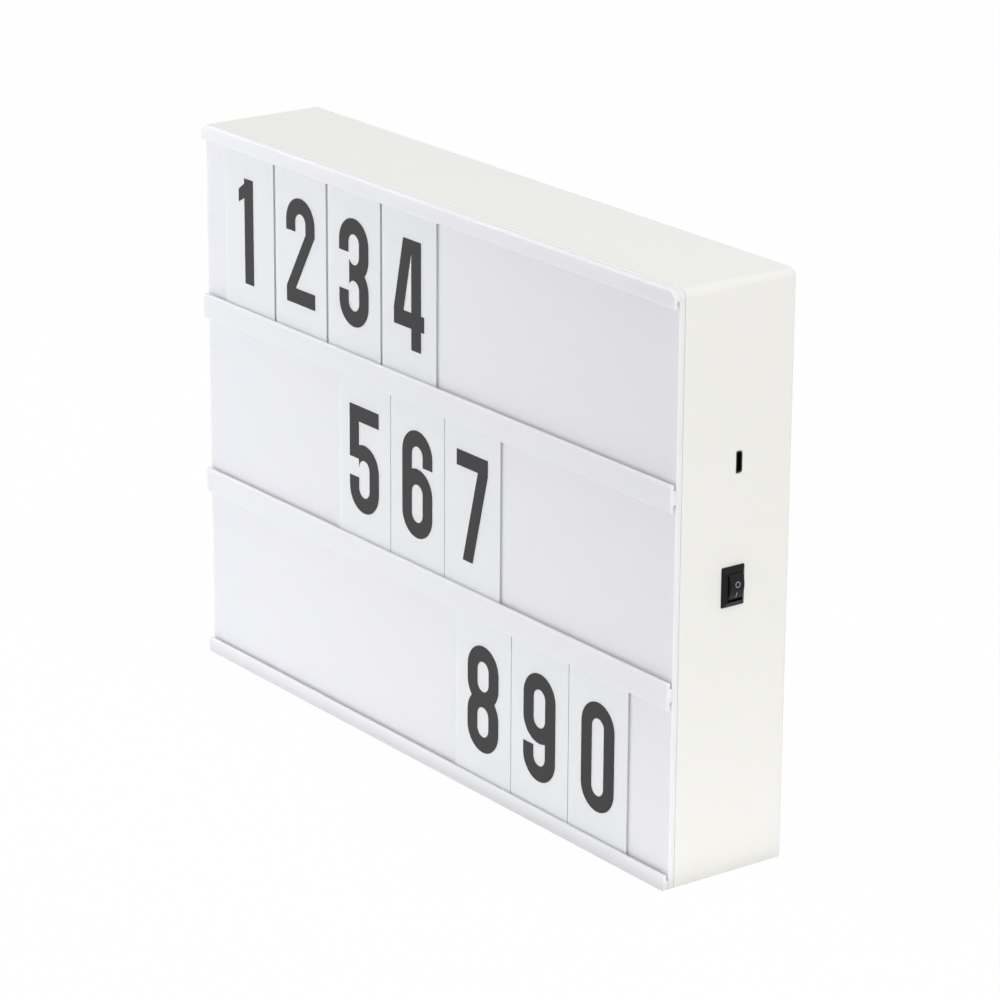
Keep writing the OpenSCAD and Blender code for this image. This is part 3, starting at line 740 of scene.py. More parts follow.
class Finishes:
    """Every finish of the box, built once."""

    def __init__(self) -> None:
        """Builds the materials."""
        plastic = MouldedPlastic
        self.case = plastic(
            "moulded_abs_warm_white", "#EDECE8", "#EAE9E4", (0.42, 0.52), shine=0.28
        ).build()
        self.panel = plastic(
            "opal_acrylic_sheet", "#EDEDEE", "#EAEAEC", (0.20, 0.28), 3.0, 0.01, 1.49, scatter=0.5
        ).build()
        self.rail = plastic(
            "extruded_opal_acrylic", "#EDEDEE", "#EAEAEB", (0.26, 0.32), 1.5, 0.004, 1.49,
            (0.02, 1, 1), scatter=0.5,
        ).build()
        self.card = plastic(
            "clear_pvc_sheet", "#FDFEFE", "#FAFBFC", (0.10, 0.16), 4.0, 0.02, 1.54, cover=0.8
        ).build()
        # The cards' cut edges are greyer than the cards: partly the sheared edge's own frosting, partly
        # painted shade for the dark lines that refraction through the edge and the shadow in the gap give.
        self.card_edge = plastic(
            "sheared_edge_and_painted_shade", "#DADDE2", "#D0D4DA", (0.45, 0.6), 0.4, 0.02, 1.54, cover=0.6
        ).build()
        self.ink = PrintedInk().build()
        self.switch = plastic(
            "moulded_black_polyamide", "#0C0D0F", "#0A0B0C", (0.36, 0.46), 0.3, 0.015, shine=0.18
        ).build()
        self.mark = plastic("pad_printed_white", "#A3ABB3", "#969FA8", (0.45, 0.55), 0.4).build()
        self.plunger = plastic("moulded_nylon", "#DCD9D0", "#D3D0C6", (0.38, 0.5), 0.4).build()
        self.chip = plastic("moulded_epoxy", "#222326", "#1C1D20", (0.5, 0.62), 0.3, 0.02).build()
        self.red_lead = plastic("pvc_sleeve_red", "#A5262A", "#97200F", (0.35, 0.45), 0.8).build()
        self.black_lead = plastic("pvc_sleeve_black", "#1E1F21", "#17181A", (0.35, 0.45), 0.8).build()
        self.brass = BrushedMetal("stamped_brass", "#D9B066", "#B98F49", (0.22, 0.34)).build()
        self.nickel = BrushedMetal("nickel_plated_steel", "#CFCDC4", "#B9B5A6", (0.18, 0.3)).build()
        self.tin = BrushedMetal("tinned_brass", "#C9CBCE", "#B2B4B6", (0.28, 0.42)).build()
        self.zinc = BrushedMetal("zinc_plated_steel", "#B9BCC2", "#A6A48F", (0.25, 0.4)).build()
        # The receptacle shell's dark olive colour is painted shade: it stands in for the dark inside of the
        # port, not the plated metal's own colour.
        self.shell = BrushedMetal(
            "port_shell_painted_shade", "#5D594D", "#454238", (0.3, 0.45), (8, 1, 1)
        ).build()
        self.spring = BrushedMetal(
            "drawn_spring_wire", "#C4C6C9", "#A9ABAD", (0.2, 0.32), (1, 1, 1)
        ).build()
        self.board = SolderMask("green_solder_mask", "#1C5A33", "#2B7A47").build()
        self.strip = SolderMask("white_solder_mask", "#F0F0EC", "#E6E6E0", 4.0).build()


def dress(
    frame: Mapping[str, Mapping[str, bpy.types.Object]], finish: bpy.types.Material, *nodes: str
) -> None:
    """Gives CAD nodes that keep their shape their finish."""
    for name in nodes:
        for place in frame["nodes"][name].material_slots:
            place.material = finish
        LOG.info("%s dressed in %s", name, finish.name)


# --------------------------------------------------------------------------------------------------
# The box
# --------------------------------------------------------------------------------------------------


@dataclass
class BoxSizes:
    """Sizes in millimetres that several pieces share."""

    side: float = 150
    height: float = 222
    front: float = -27.5
    face: float = -25
    parting: float = -22.5
    case_front: float = -22.4
    back_inside: float = 25.5
    back: float = 27.5
    wall: float = 2
    top_corner: float = 3.5
    base_corner: float = 1
    post: float = 8.5

    def posts(self) -> list[tuple[float, float]]:
        """The corner screws' places in X and Z."""
        x = self.side - self.post
        return [(sx * x, z) for sx in (-1, 1) for z in (self.post, self.height - self.post)]

    def slab(self, name: str, inset: float, y0: float, y1: float, *extra: tuple[EdgeTest, float]):
        """Makes the box's outline solid between two depths.

        Args:
            name: The piece's name.
            inset: How far the outline is taken in.
            y0: Front depth.
            y1: Back depth.
            extra: More edges to round, with their radii.

        Returns:
            The new object.
        """
        x, z0, z1 = self.side - inset, inset, self.height - inset
        made = block(name, (-x, y0, z0), (x, y1, z1))
        high, low = max(self.top_corner - inset, 0.4), max(self.base_corner - inset, 0.4)
        soften(made, (runs("y", z=z1), high), (runs("y", z=z0), low), segments=8)
        for edges, radius in extra:
            soften(made, (edges, radius))
        return made


@dataclass
class CaseTub:
    """The case: four sides and a back in one moulding, with the battery bay and its posts."""

    sizes: BoxSizes
    back_edge: float = 2
    rim_edge: float = 0.08
    bay_half: float = 46
    bay_front: float = 10.2
    bay_low: float = 20
    bay_high: float = 76.6
    bay_wall: float = 1.5
    door_half: float = 50
    door_low: float = 12
    door_high: float = 88.1
    hook_x: float = 28
    hook_window: float = 5.5
    latch_window: float = 7
    latch_low: float = 78.6
    post_front: float = -12
    post_radius: float = 4.7
    well_floor: float = -10
    well_radius: float = 3.5
    screw_hole: float = 1.6
    board_x: float = 138
    board_back: float = 5.45
    board_post: float = 2.6
    board_hole: float = 1
    inlet_y: float = 3
    inlet_z: float = 155.5
    inlet_half: tuple[float, float] = (1.45, 4.15)
    inlet_cut: float = 1.015
    inlet_rim: float = 0.1
    inlet_front_corner: float = 0.5
    keyhole_x: float = 100
    keyhole_z: float = 190
    keyhole_radius: float = 4.5
    keyhole_slot: float = 2.25
    keyhole_reach: float = 8.5
    switch_y: float = 1.2
    switch_z: float = 110
    switch_half: tuple[float, float] = (4.5, 6.7)

    def shell(self) -> bpy.types.Object:
        """Makes the hollow tub with its outer edges rounded."""
        s = self.sizes
        outer = s.slab("case_shell", 0, s.case_front, s.back,
                       (around("y", s.back), self.back_edge), (around("y", s.case_front), self.rim_edge))
        room = s.slab("case_room", s.wall, s.case_front - 1, s.back_inside)
        return combine(Combine.CUT, outer, room)

    def supports(self) -> list[bpy.types.Object]:
        """Makes the bay's walls, the door's ledge and the screw posts."""
        s, w, into = self.sizes, self.bay_wall, self.sizes.back_inside + 0.6
        solids = [
            block(
                "bay", (-self.bay_half - w, self.bay_front - w, self.bay_low - w),
                (self.bay_half + w, into, self.bay_high + w),
            ),
            block(
                "ledge", (-self.door_half - w, s.back_inside - w, self.door_low - w),
                (self.door_half + w, into, self.door_high + w),
            ),
        ]
        for x, z in s.posts():
            solids.append(rod("post", self.post_radius, (x, self.post_front, z), (x, into, z)))
        for z in (-8, 8):
            place = self.inlet_z + z
            solids.append(
                rod("board_post", self.board_post, (self.board_x, self.board_back, place),
                    (self.board_x, into, place))
            )
        return solids

    def rooms(self) -> list[bpy.types.Object]:
        """Makes the cutters for the bay, the door's opening, its windows and the posts' holes."""
        s, w = self.sizes, self.bay_wall
        ledge = s.back_inside - w - 1
        opening = block(
            "door_opening", (-self.door_half, s.back_inside, self.door_low),
            (self.door_half, s.back - 0.3, self.door_high),
        )
        cutters = [
            block("bay_room", (-self.bay_half, self.bay_front, self.bay_low),
                  (self.bay_half, s.back_inside + 0.1, self.bay_high)),
            flare(opening, (0, 1, 0), 0.3),
            block("latch_gap", (-self.latch_window, ledge, self.latch_low),
                  (self.latch_window, s.back_inside + 0.1, self.door_high + w + 1)),
        ]
        for x in (-self.hook_x, self.hook_x):
            cutters.append(
                block("hook_gap", (x - self.hook_window, ledge, self.door_low - w - 1),
                      (x + self.hook_window, s.back_inside + 0.1, self.bay_low - w - 0.5))
            )
        for x, z in s.posts():
            well = rod("well", self.well_radius, (x, self.well_floor, z), (x, s.back - 0.4, z))
            cutters.append(flare(well, (0, 1, 0), 0.4))
            cutters.append(rod("screw_hole", self.screw_hole, (x, self.post_front - 1, z),
                               (x, self.well_floor + 1, z), 32))
        for z in (-8, 8):
            place = self.inlet_z + z
            cutters.append(
                rod("board_hole", self.board_hole, (self.board_x, self.board_back - 1, place),
                    (self.board_x, self.board_back + 7, place), 24)
            )
        return cutters

    def openings(self) -> list[bpy.types.Object]:
        """Makes the cutters for the inlet, the switch and the two keyholes."""
        s = self.sizes
        half_y, half_z = self.inlet_half
        inlet = block(
            "inlet_slot", (s.side - 4, self.inlet_y - half_y, self.inlet_z - half_z),
            (s.side - self.inlet_rim, self.inlet_y + half_y, self.inlet_z + half_z),
        )
        soften(inlet, (runs("x", y=self.inlet_y + half_y), self.inlet_cut),
               (runs("x", y=self.inlet_y - half_y), self.inlet_front_corner), segments=4)
        half_y, half_z = self.switch_half
        cutters = [
            flare(inlet, (1, 0, 0), self.inlet_rim),
            block("switch_hole", (s.side - 4, self.switch_y - half_y, self.switch_z - half_z),
                  (s.side + 1, self.switch_y + half_y, self.switch_z + half_z)),
        ]
        low, high = s.back_inside - 1, s.back - 0.3
        for x in (-self.keyhole_x, self.keyhole_x):
            top = self.keyhole_z + self.keyhole_reach
            hole = rod("keyhole", self.keyhole_radius, (x, low, self.keyhole_z), (x, high, self.keyhole_z))
            slot = block("keyhole_slot", (x - self.keyhole_slot, low, self.keyhole_z),
                         (x + self.keyhole_slot, high, top))
            end = rod("keyhole_end", self.keyhole_slot, (x, low, top), (x, high, top), 32)
            cutters.append(flare(combine(Combine.JOIN, hole, slot, end), (0, 1, 0), 0.3))
        return cutters

    def build(self, finishes: Finishes) -> None:
        """Builds the case and hands it over."""
        tub = self.shell()
        combine(Combine.JOIN, tub, *self.supports())
        combine(Combine.CUT, tub, *self.rooms(), *self.openings())
        tub.name = "case_tub"
        hand_over(tub, finishes.case, "case_abs", "light_box", "case")


@dataclass
class FrontPanel:
    """The milky panel with the rim that centres it and the bosses for the case's screws."""

    sizes: BoxSizes
    edge: float = 0.25
    parting_edge: float = 0.08
    rim_inset: float = 2.2
    rim_wall: float = 1.2
    rim_depth: float = 3
    boss_radius: float = 3.2
    boss_back: float = -12
    pilot: float = 1.3

    def build(self, finishes: Finishes) -> None:
        """Builds the panel and hands it over."""
        s = self.sizes
        sheet = s.slab("panel_sheet", 0, s.face, s.parting,
                       (runs("z", y=s.face), self.edge), (around("y", s.parting), self.parting_edge))
        rim = s.slab("panel_rim", self.rim_inset, s.parting - 0.5, s.parting + self.rim_depth)
        room = s.slab("rim_room", self.rim_inset + self.rim_wall, s.parting, s.parting + 9)
        combine(Combine.JOIN, sheet, rim)
        combine(Combine.CUT, sheet, room)
        for x, z in s.posts():
            boss = rod("boss", self.boss_radius, (x, s.parting - 0.5, z), (x, self.boss_back, z))
            combine(Combine.JOIN, sheet, boss)
            hole = rod("pilot", self.pilot, (x, self.boss_back - 9, z), (x, self.boss_back + 1, z), 24)
            combine(Combine.CUT, sheet, hole)
        sheet.name = "opal_panel"
        hand_over(sheet, finishes.panel, "panel_milky", "light_box", "front_panel")


@dataclass
class CardRail:
    """One extruded rail: a lip with rounded edges, and the web that holds it off the panel."""

    sizes: BoxSizes
    node: str
    low: float
    height: float
    below: float = 0
    above: float = 0
    lip: float = 1.5
    soft: float = 0.4

    def build(self, finishes: Finishes) -> None:
        """Builds the rail and hands it over."""
        s, low, high = self.sizes, self.low, self.low + self.height
        back = s.front + self.lip
        rail = block(f"{self.node}_piece", (-s.side, s.front, low), (s.side, back, high))
        web_low, web_high = low + self.below, high - self.above
        cuts = [cut for cut in (web_low, web_high) if low < cut < high]
        with editing(rail):
            for cut in cuts:
                bpy.ops.mesh.select_all(action="SELECT")
                bpy.ops.mesh.bisect(plane_co=metres((0, 0, cut)), plane_no=(0, 0, 1))
            pick_faces(rail, (0, 1, 0), (-999, -999, web_low), (999, 999, web_high))
            bpy.ops.mesh.extrude_region_move(
                TRANSFORM_OT_translate={"value": metres((0, s.face - back, 0))}
            )
        if high > s.height - 1:
            soften(rail, (runs("y", z=high), s.top_corner), segments=8)
        if low < 1:
            soften(rail, (runs("y", z=low), s.base_corner), segments=6)
        front, cut_lines = around("y", s.front), around("z", *cuts)
        soften(rail, (lambda a, b: front(a, b) and not cut_lines(a, b), self.soft))
        inner = [(runs("x", y=back, z=low), self.soft)] if self.below else []
        if self.above:
            inner.append((runs("x", y=back, z=high), self.soft))
        soften(rail, *inner)
        hand_over(rail, finishes.rail, "rail_milky", "light_box", self.node)


@dataclass
class CardSet:
    """Ten clear cards, cut from one sheet, with rounded corners and a broken edge."""

    count: int = 10
    corner: float = 0.8
    broken: float = 0.08

    def build(self, frame: Mapping, finishes: Finishes) -> None:
        """Models the first card, copies it to each card's place and hands all over."""
        low, high = (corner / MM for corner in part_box("card_1"))
        first = block("clear_card_1", low, high)
        soften(first, (runs("y"), self.corner), segments=4)
        with editing(first):
            for way in ((0, -1, 0), (0, 1, 0)):
                pick_faces(first, way)
                bpy.ops.mesh.bevel(offset=self.broken * MM, segments=2, affect="EDGES")
        first.data.materials.append(finishes.card)
        first.data.materials.append(finishes.card_edge)
        for face in first.data.polygons:
            # Side faces take the greyer edge finish, which is partly painted shade.
            face.material_index = int(abs(face.normal.y) < 0.5)
        cards = [first]
        for i in range(2, self.count + 1):
            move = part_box(f"card_{i}")[0] - low * MM
            cards.append(copied(first, f"clear_card_{i}", move))
        for i, card in enumerate(cards, 1):
            hand_over(card, finishes.card, "card_clear", f"card_{i}_body", f"card_{i}", crease=50)
            dress(frame, finishes.ink, f"card_print_{i}")


@dataclass
class RockerSwitch:
    """The rocker switch: its bezel and body in one moulding, and its rocker."""

    pivot: tuple[float, float, float] = (148.95, 1.2, 110)
    wall_x: float = 150
    body_back: float = 139.5
    body_half: tuple[float, float] = (4.3, 6.5)
    bezel_half: tuple[float, float] = (5.1, 7.5)
    bezel_foot: float = 150.4
    bezel_front: float = 151.6
    bezel_rim: float = 0.2
    bezel_corner: float = 0.5
    room_radius: float = 5.93
    room_half: float = 3.3
    room_back: float = 146.55
    axle_hole: float = 0.95
    contact_x: float = 142.95
    chamber_half: tuple[float, float] = (2.2, 4.6)
    tilt: float = 10
    rocker_radius: float = 5.73
    rocker_half_w: float = 3.1
    rocker_half_l: float = 5.1
    rocker_top: float = 4.1
    face_radius: float = 9.5
    face_edge: float = 0.22
    hub: float = 2
    axle: float = 0.9
    axle_reach: float = 4.1
    stem_hole: float = 0.85
    mark_out: float = 2
    mark_radius: float = 1.08
    mark_stroke: float = 0.24
    mark_rise: float = 0.05

    def bezel(self) -> bpy.types.Object:
        """Makes the bezel: a low foot, and four slopes that rise to a narrow rim."""
        x, y, z = self.pivot
        by, bz = self.bezel_half
        mouth = math.sqrt(self.room_radius**2 - (self.bezel_front - x) ** 2)
        ry, rz = self.room_half + self.bezel_rim, mouth + self.bezel_rim
        made = block("switch_bezel", (self.wall_x, y - by, z - bz), (self.bezel_foot, y + by, z + bz))
        soften(made, (runs("x"), self.bezel_corner), segments=4)
        with editing(made):
            pick_faces(made, (1, 0, 0))
            rise = self.bezel_front - self.bezel_foot
            bpy.ops.mesh.extrude_region_move(TRANSFORM_OT_translate={"value": metres((rise, 0, 0))})
            bpy.ops.transform.resize(
                value=(1, ry / by, rz / bz), center_override=metres((self.bezel_front, y, z))
            )

        def outline(level: float) -> EdgeTest:
            """Picks the edges that run round the bezel at one level."""
            return lambda a, b: all(abs(e.x - level) < NEAR for e in (a, b))

        return soften(
            made, (outline(self.bezel_foot), 0.2), (outline(self.bezel_front), 0.15), segments=3
        )

    def body(self) -> bpy.types.Object:
        """Makes the bezel and the body behind the wall."""
        x, y, z = self.pivot
        hy, hz = self.body_half
        made = self.bezel()
        box = block("switch_box", (self.body_back, y - hy, z - hz), (self.wall_x + 0.3, y + hy, z + hz))
        combine(Combine.JOIN, made, soften(box, (runs("x"), 0.4), segments=3))
        w = self.room_half
        room = rod("rocker_room", self.room_radius, (x, y - w, z), (x, y + w, z), 128)
        front_part = block("room_part", (self.room_back, y - 9, z - 9), (x + 9, y + 9, z + 9))
        combine(Combine.KEEP, room, front_part)
        hole = rod("axle_hole", self.axle_hole, (x, y - 4.5, z), (x, y + 4.5, z), 24)
        back, (cy, cz) = self.contact_x - 1.2, self.chamber_half
        chamber = block("contact_chamber", (back, y - cy, z - cz), (back + 6, y + cy, z + cz))
        combine(Combine.CUT, made, room, hole, chamber)
        cradle = block("cradle", (back - 0.1, y - cy - 0.1, z - 0.9), (back + 1, y + cy + 0.1, z + 0.9))
        groove = rod("groove", 0.5, (self.contact_x, y - 3, z), (self.contact_x, y + 3, z), 24)
        return combine(Combine.JOIN, made, combine(Combine.CUT, cradle, groove))

    def rocker(self) -> bpy.types.Object:
        """Makes the rocker, its face gently curved, tipped towards its lower half."""
        x, y, z = self.pivot
        w = self.rocker_half_w
        middle = x + self.rocker_top - self.face_radius
        made = rod("rocker_cap", self.rocker_radius, (x, y - w, z), (x, y + w, z), 160)
        face = rod("rocker_face", self.face_radius, (middle, y - 9, z), (middle, y + 9, z), 240)
        front_part = block("rocker_part", (x, y - 9, z - 9), (x + 9, y + 9, z + 9))
        combine(Combine.KEEP, made, face, front_part)
        soften(made, (self.rim_edge, self.face_edge), segments=4)
        hub = rod("rocker_hub", self.hub, (x, y - w, z), (x, y + w, z), 48)
        axle = rod("rocker_axle", self.axle, (x, y - self.axle_reach, z), (x, y + self.axle_reach, z), 32)
        hole = rod("stem_hole", self.stem_hole, (x - 4, y, z), (x - 1, y, z), 24)
        combine(Combine.JOIN, made, hub)
        combine(Combine.CUT, made, hole)
        return self.tipped(combine(Combine.JOIN, made, axle))

    def tipped(self, piece: bpy.types.Object) -> bpy.types.Object:
        """Turns a piece with the rocker, towards its lower half."""
        activate(piece)
        turn = Matrix.Rotation(math.radians(self.tilt), 4, "Y")
        centre = Matrix.Translation(metres(self.pivot))
        piece.matrix_world = centre @ turn @ centre.inverted()
        bpy.ops.object.transform_apply(location=True, rotation=True, scale=True)
        return piece

    def marks(self) -> bpy.types.Object:
        """Makes the ring and the bar, a film of print that follows the rocker's curve."""
        x, y, z = self.pivot
        front, reach = x + self.rocker_top + 1, self.mark_radius
        up, down = z + self.mark_out, z - self.mark_out
        ring = rod("switch_marks", reach, (x, y, up), (front, y, up), 48)
        inner = rod("ring_hole", reach - self.mark_stroke, (x - 1, y, up), (front + 1, y, up), 48)
        combine(Combine.CUT, ring, inner)
        half = self.mark_stroke / 2
        bar = block("bar", (x, y - half, down - reach), (front, y + half, down + reach))
        middle = x + self.rocker_top - self.face_radius
        film = rod("film", self.face_radius + self.mark_rise, (middle, y - 2, z), (middle, y + 2, z), 480)
        core = rod("core", self.face_radius - self.mark_rise, (middle, y - 3, z), (middle, y + 3, z), 480)
        combine(Combine.CUT, film, core)
        combine(Combine.JOIN, ring, bar)
        return self.tipped(combine(Combine.KEEP, ring, film))

    def rim_edge(self, a: Vector, b: Vector) -> bool:
        """Whether an edge lies round the rocker's face, along its sides or over its ends."""
        x, y, z = self.pivot
        middle = x + self.rocker_top - self.face_radius
        on_face = all(
            abs(math.hypot(e.x - middle, e.z - z) - self.face_radius) < NEAR
            and e.x > x + NEAR for e in (a, b)
        )
        side = all(abs(abs(e.y - y) - self.rocker_half_w) < NEAR for e in (a, b))
        end = all(abs(math.hypot(e.x - x, e.z - z) - self.rocker_radius) < NEAR for e in (a, b))
        return on_face and (side and abs(b.y - a.y) < NEAR or end and abs(b.y - a.y) > 1)

    def build(self, frame: Mapping, finishes: Finishes) -> None:
        """Builds the switch and hands it over."""
        hand_over(self.body(), finishes.switch, "switch_black", "light_box", "switch_body")
        hand_over(self.rocker(), finishes.switch, "switch_black", "switch_rocker", "rocker")
        hand_over(self.marks(), finishes.mark, "mark_white", "switch_rocker", "rocker_marks")
        dress(frame, finishes.plunger, "rocker_plunger")
        dress(frame, finishes.brass, "switch_contact")
        dress(frame, finishes.tin, "switch_terminals")


@dataclass
class PowerInlet:
    """The receptacle: a drawn metal shell, its lips flared to fill the slot, round a tongue."""

    centre: tuple[float, float] = (3, 155.5)
    half: tuple[float, float] = (1.25, 3.75)
    corner: float = 0.35
    back: float = 143.9
    front: float = 149.5
    wall: float = 0.3
    floor: float = 1
    lip: float = 0.16

    def trumpet(self, name: str, x0: float, inset: float, reach: float) -> bpy.types.Object:
        """Makes the receptacle's outline solid up to its front, and flares it from there.

        Args:
            name: The piece's name.
            x0: Where it starts.
            inset: How far the outline is taken in.
            reach: How far the flared part goes on.

        Returns:
            The new object.
        """
        y, z = self.centre
        hy, hz = (h - inset for h in self.half)
        made = block(name, (x0, y - hy, z - hz), (self.front, y + hy, z + hz))
        soften(made, (runs("x", y=y + hy), self.corner * 2 * hy), (runs("x", y=y - hy), 0.25), segments=4)
        with editing(made):
            pick_faces(made, (1, 0, 0))
            for wide in (0.35 * self.lip, 0.65 * self.lip):
                bpy.ops.mesh.extrude_region_move(
                    TRANSFORM_OT_translate={"value": metres((reach / 2, 0, 0))}
                )
                bpy.ops.transform.resize(
                    value=(1, 1 + wide / hy, 1 + wide / hz), center_override=metres((x0, y, z))
                )
        return made

    def build(self, frame: Mapping, finishes: Finishes) -> None:
        """Builds the shell and hands it over with its tongue."""
        shell = self.trumpet("receptacle_shell", self.back, 0, 0.36)
        room = self.trumpet("receptacle_room", self.back + self.floor, self.wall, 0.5)
        combine(Combine.CUT, shell, room)
        # The shell's dark finish is painted shade, so the port looks dark inside.
        hand_over(shell, finishes.shell, "steel", "light_box", "inlet_shell")
        dress(frame, finishes.switch, "inlet_tongue")


@dataclass
class BatteryBay:
    """The door with its hooks, six cells, and the springs under them."""

    sizes: BoxSizes
    door_half: float = 49.75
    door_low: float = 12
    door_high: float = 87.85
    notch_half: float = 6.4
    notch_low: float = 79.1
    hook_pivot: tuple[float, float] = (24.6, 11)
    hook_clear: float = 3.268
    hook_wall: float = 1.6
    hook_tip: float = 0.8
    hook_half: float = 5
    hook_x: float = 28
    cell_radius: float = 7.25
    cell_length: float = 49.5
    cell_y: float = 17.65
    cell_pitch: float = 15
    low_end: float = 25.4
    high_end: float = 71.2
    button: tuple[float, float] = (2.75, 1)
    spring_radii: tuple[float, float] = (3, 5)
    spring_height: float = 5
    wire: float = 0.4
    turns: int = 3

    def hook(self, x: float) -> bpy.types.Object:
        """Makes one hook: a tongue under the case's wall and an arm round its edge."""
        py, pz = self.hook_pivot
        reach = self.hook_clear + self.hook_wall
        left, right = x - self.hook_half, x + self.hook_half
        ring = rod("hook_ring", reach, (left, py, pz), (right, py, pz), 96)
        inner = rod("hook_inner", self.hook_clear, (left - 1, py, pz), (right + 1, py, pz), 96)
        sector = block("hook_sector", (left - 1, py - reach - 1, pz), (right + 1, self.sizes.back - 1, pz + 9))
        combine(Combine.CUT, ring, inner)
        combine(Combine.KEEP, ring, sector)
        tongue = block("hook_tongue", (left, py - reach, pz - self.hook_tip), (right, py, pz + self.hook_tip))
        tip = rod("hook_tip", self.hook_tip, (left, py, pz), (right, py, pz), 32)
        return combine(Combine.JOIN, ring, tongue, tip)

    def door(self) -> bpy.types.Object:
        """Makes the door with its softened outer edges, the latch's notch and two hooks."""
        s = self.sizes
        door = block("battery_lid", (-self.door_half, s.back_inside, self.door_low),
                     (self.door_half, s.back, self.door_high))
        notch = block("latch_notch", (-self.notch_half, s.back_inside - 1, self.notch_low),
                      (self.notch_half, s.back + 1, self.door_high + 1))
        combine(Combine.CUT, door, notch)
        outer = [(runs(axis, y=s.back), 0.3) for axis in "xz"]
        soften(door, *outer, segments=4)
        py, pz = self.hook_pivot
        bend = rod("lid_bend", self.hook_clear, (-60, py, pz), (60, py, pz), 96)
        combine(Combine.CUT, door, bend)
        return combine(Combine.JOIN, door, self.hook(-self.hook_x), self.hook(self.hook_x))

    def cell(self) -> bpy.types.Object:
        """Makes the first cell, button up: a sleeve folded over steel ends."""
        x = -2.5 * self.cell_pitch
        foot, top = self.low_end, self.low_end + self.cell_length
        cell = rod("aa_cell_1", self.cell_radius, (x, self.cell_y, foot), (x, self.cell_y, top), 64)
        middle = metres((x, self.cell_y, top))
        radius, rise = self.button
        with editing(cell):
            pick_faces(cell, (0, 0, 1))
            bpy.ops.mesh.inset(thickness=(self.cell_radius - 5.6) * MM)
            bpy.ops.mesh.inset(thickness=0.15 * MM, depth=-0.25 * MM)
            bpy.ops.mesh.inset(thickness=(5.45 - radius) * MM)
            bpy.ops.mesh.extrude_region_move(
                TRANSFORM_OT_translate={"value": metres((0, 0, rise + 0.25 - 0.3))}
            )
            bpy.ops.mesh.extrude_region_move(TRANSFORM_OT_translate={"value": metres((0, 0, 0.3))})
            bpy.ops.transform.resize(value=(0.86, 0.86, 1), center_override=middle)
            pick_faces(cell, (0, 0, -1))
            bpy.ops.mesh.inset(thickness=(self.cell_radius - 5.9) * MM)
            bpy.ops.mesh.inset(thickness=0.15 * MM, depth=-0.2 * MM)
        soften(cell, (self.sleeve_edge, 0.55), segments=4)
        return cell

    def sleeve_edge(self, a: Vector, b: Vector) -> bool:
        """Whether an edge lies round either end of a cell's sleeve."""
        x = -2.5 * self.cell_pitch
        ends = (self.low_end, self.low_end + self.cell_length)
        return all(
            math.hypot(e.x - x, e.y - self.cell_y) > self.cell_radius - NEAR
            and min(abs(e.z - end) for end in ends) < NEAR
            for e in (a, b)
        ) and abs(a.z - b.z) < NEAR

    def cells(self, finishes: Finishes) -> None:
        """Places the six cells, every second one upside down, and hands them over."""
        first = self.cell()
        for mesh_slot in (BandedSleeve("cell_sleeve_up", 62, True).build(), finishes.nickel):
            first.data.materials.append(mesh_slot)
        x = -2.5 * self.cell_pitch
        for face in first.data.polygons:
            middle = face.center / MM
            out = math.hypot(middle.x - x, middle.y - self.cell_y)
            face.material_index = int(out < 5.5 or middle.z > self.low_end + self.cell_length + NEAR)
        down = BandedSleeve("cell_sleeve_down", 34.6, False).build()
        placed = [first]
        for i in range(1, 6):
            placed.append(copied(first, f"aa_cell_{i + 1}", metres((i * self.cell_pitch, 0, 0))))
        for i, cell in enumerate(placed):
            if i % 2:
                activate(cell)
                middle = metres((0, self.cell_y, (self.low_end + self.high_end) / 2))
                flip = Matrix.Rotation(math.pi, 4, "X")
                cell.matrix_world = Matrix.Translation(middle) @ flip @ Matrix.Translation(-middle)
                bpy.ops.object.transform_apply(location=True, rotation=True, scale=True)
                cell.data.materials[0] = down
            hand_over(cell, finishes.nickel, "cell_wrap", "light_box", f"cell_{i + 1}")

    def springs(self, finishes: Finishes) -> None:
        """Winds a conical spring at each cell's flat end, widest on its plate."""
        top, foot = self.spring_radii
        steps = 32 * self.turns
        fall = self.spring_height - 2 * self.wire - 0.2
        made = []
        for i in range(6):
            x = (i - 2.5) * self.cell_pitch
            side, start = (1, self.low_end) if i % 2 == 0 else (-1, self.high_end)
            path = []
            for step in range(steps + 1):
                t = step / steps
                r, turn = top + t * (foot - top), 2 * math.pi * self.turns * t
                drop = -self.wire - 0.1 - t * fall
                path.append((x + r * math.cos(turn), self.cell_y + r * math.sin(turn), start + side * drop))
            made.append(tube(f"spring_{i + 1}", path, self.wire, 3))
        activate(*made)
        bpy.ops.object.join()
        coil = bpy.context.active_object
        coil.name = "wound_springs"
        hand_over(coil, finishes.spring, "steel", "light_box", "contact_springs", crease=60)

    def build(self, frame: Mapping, finishes: Finishes) -> None:
        """Builds the bay's pieces and hands them over."""
        hand_over(self.door(), finishes.case, "case_abs", "battery_cover", "battery_door")
        dress(frame, finishes.case, "door_latch")
        self.cells(finishes)
        self.springs(finishes)
        dress(frame, finishes.nickel, "contact_plates")
        dress(frame, finishes.zinc, "case_screws")


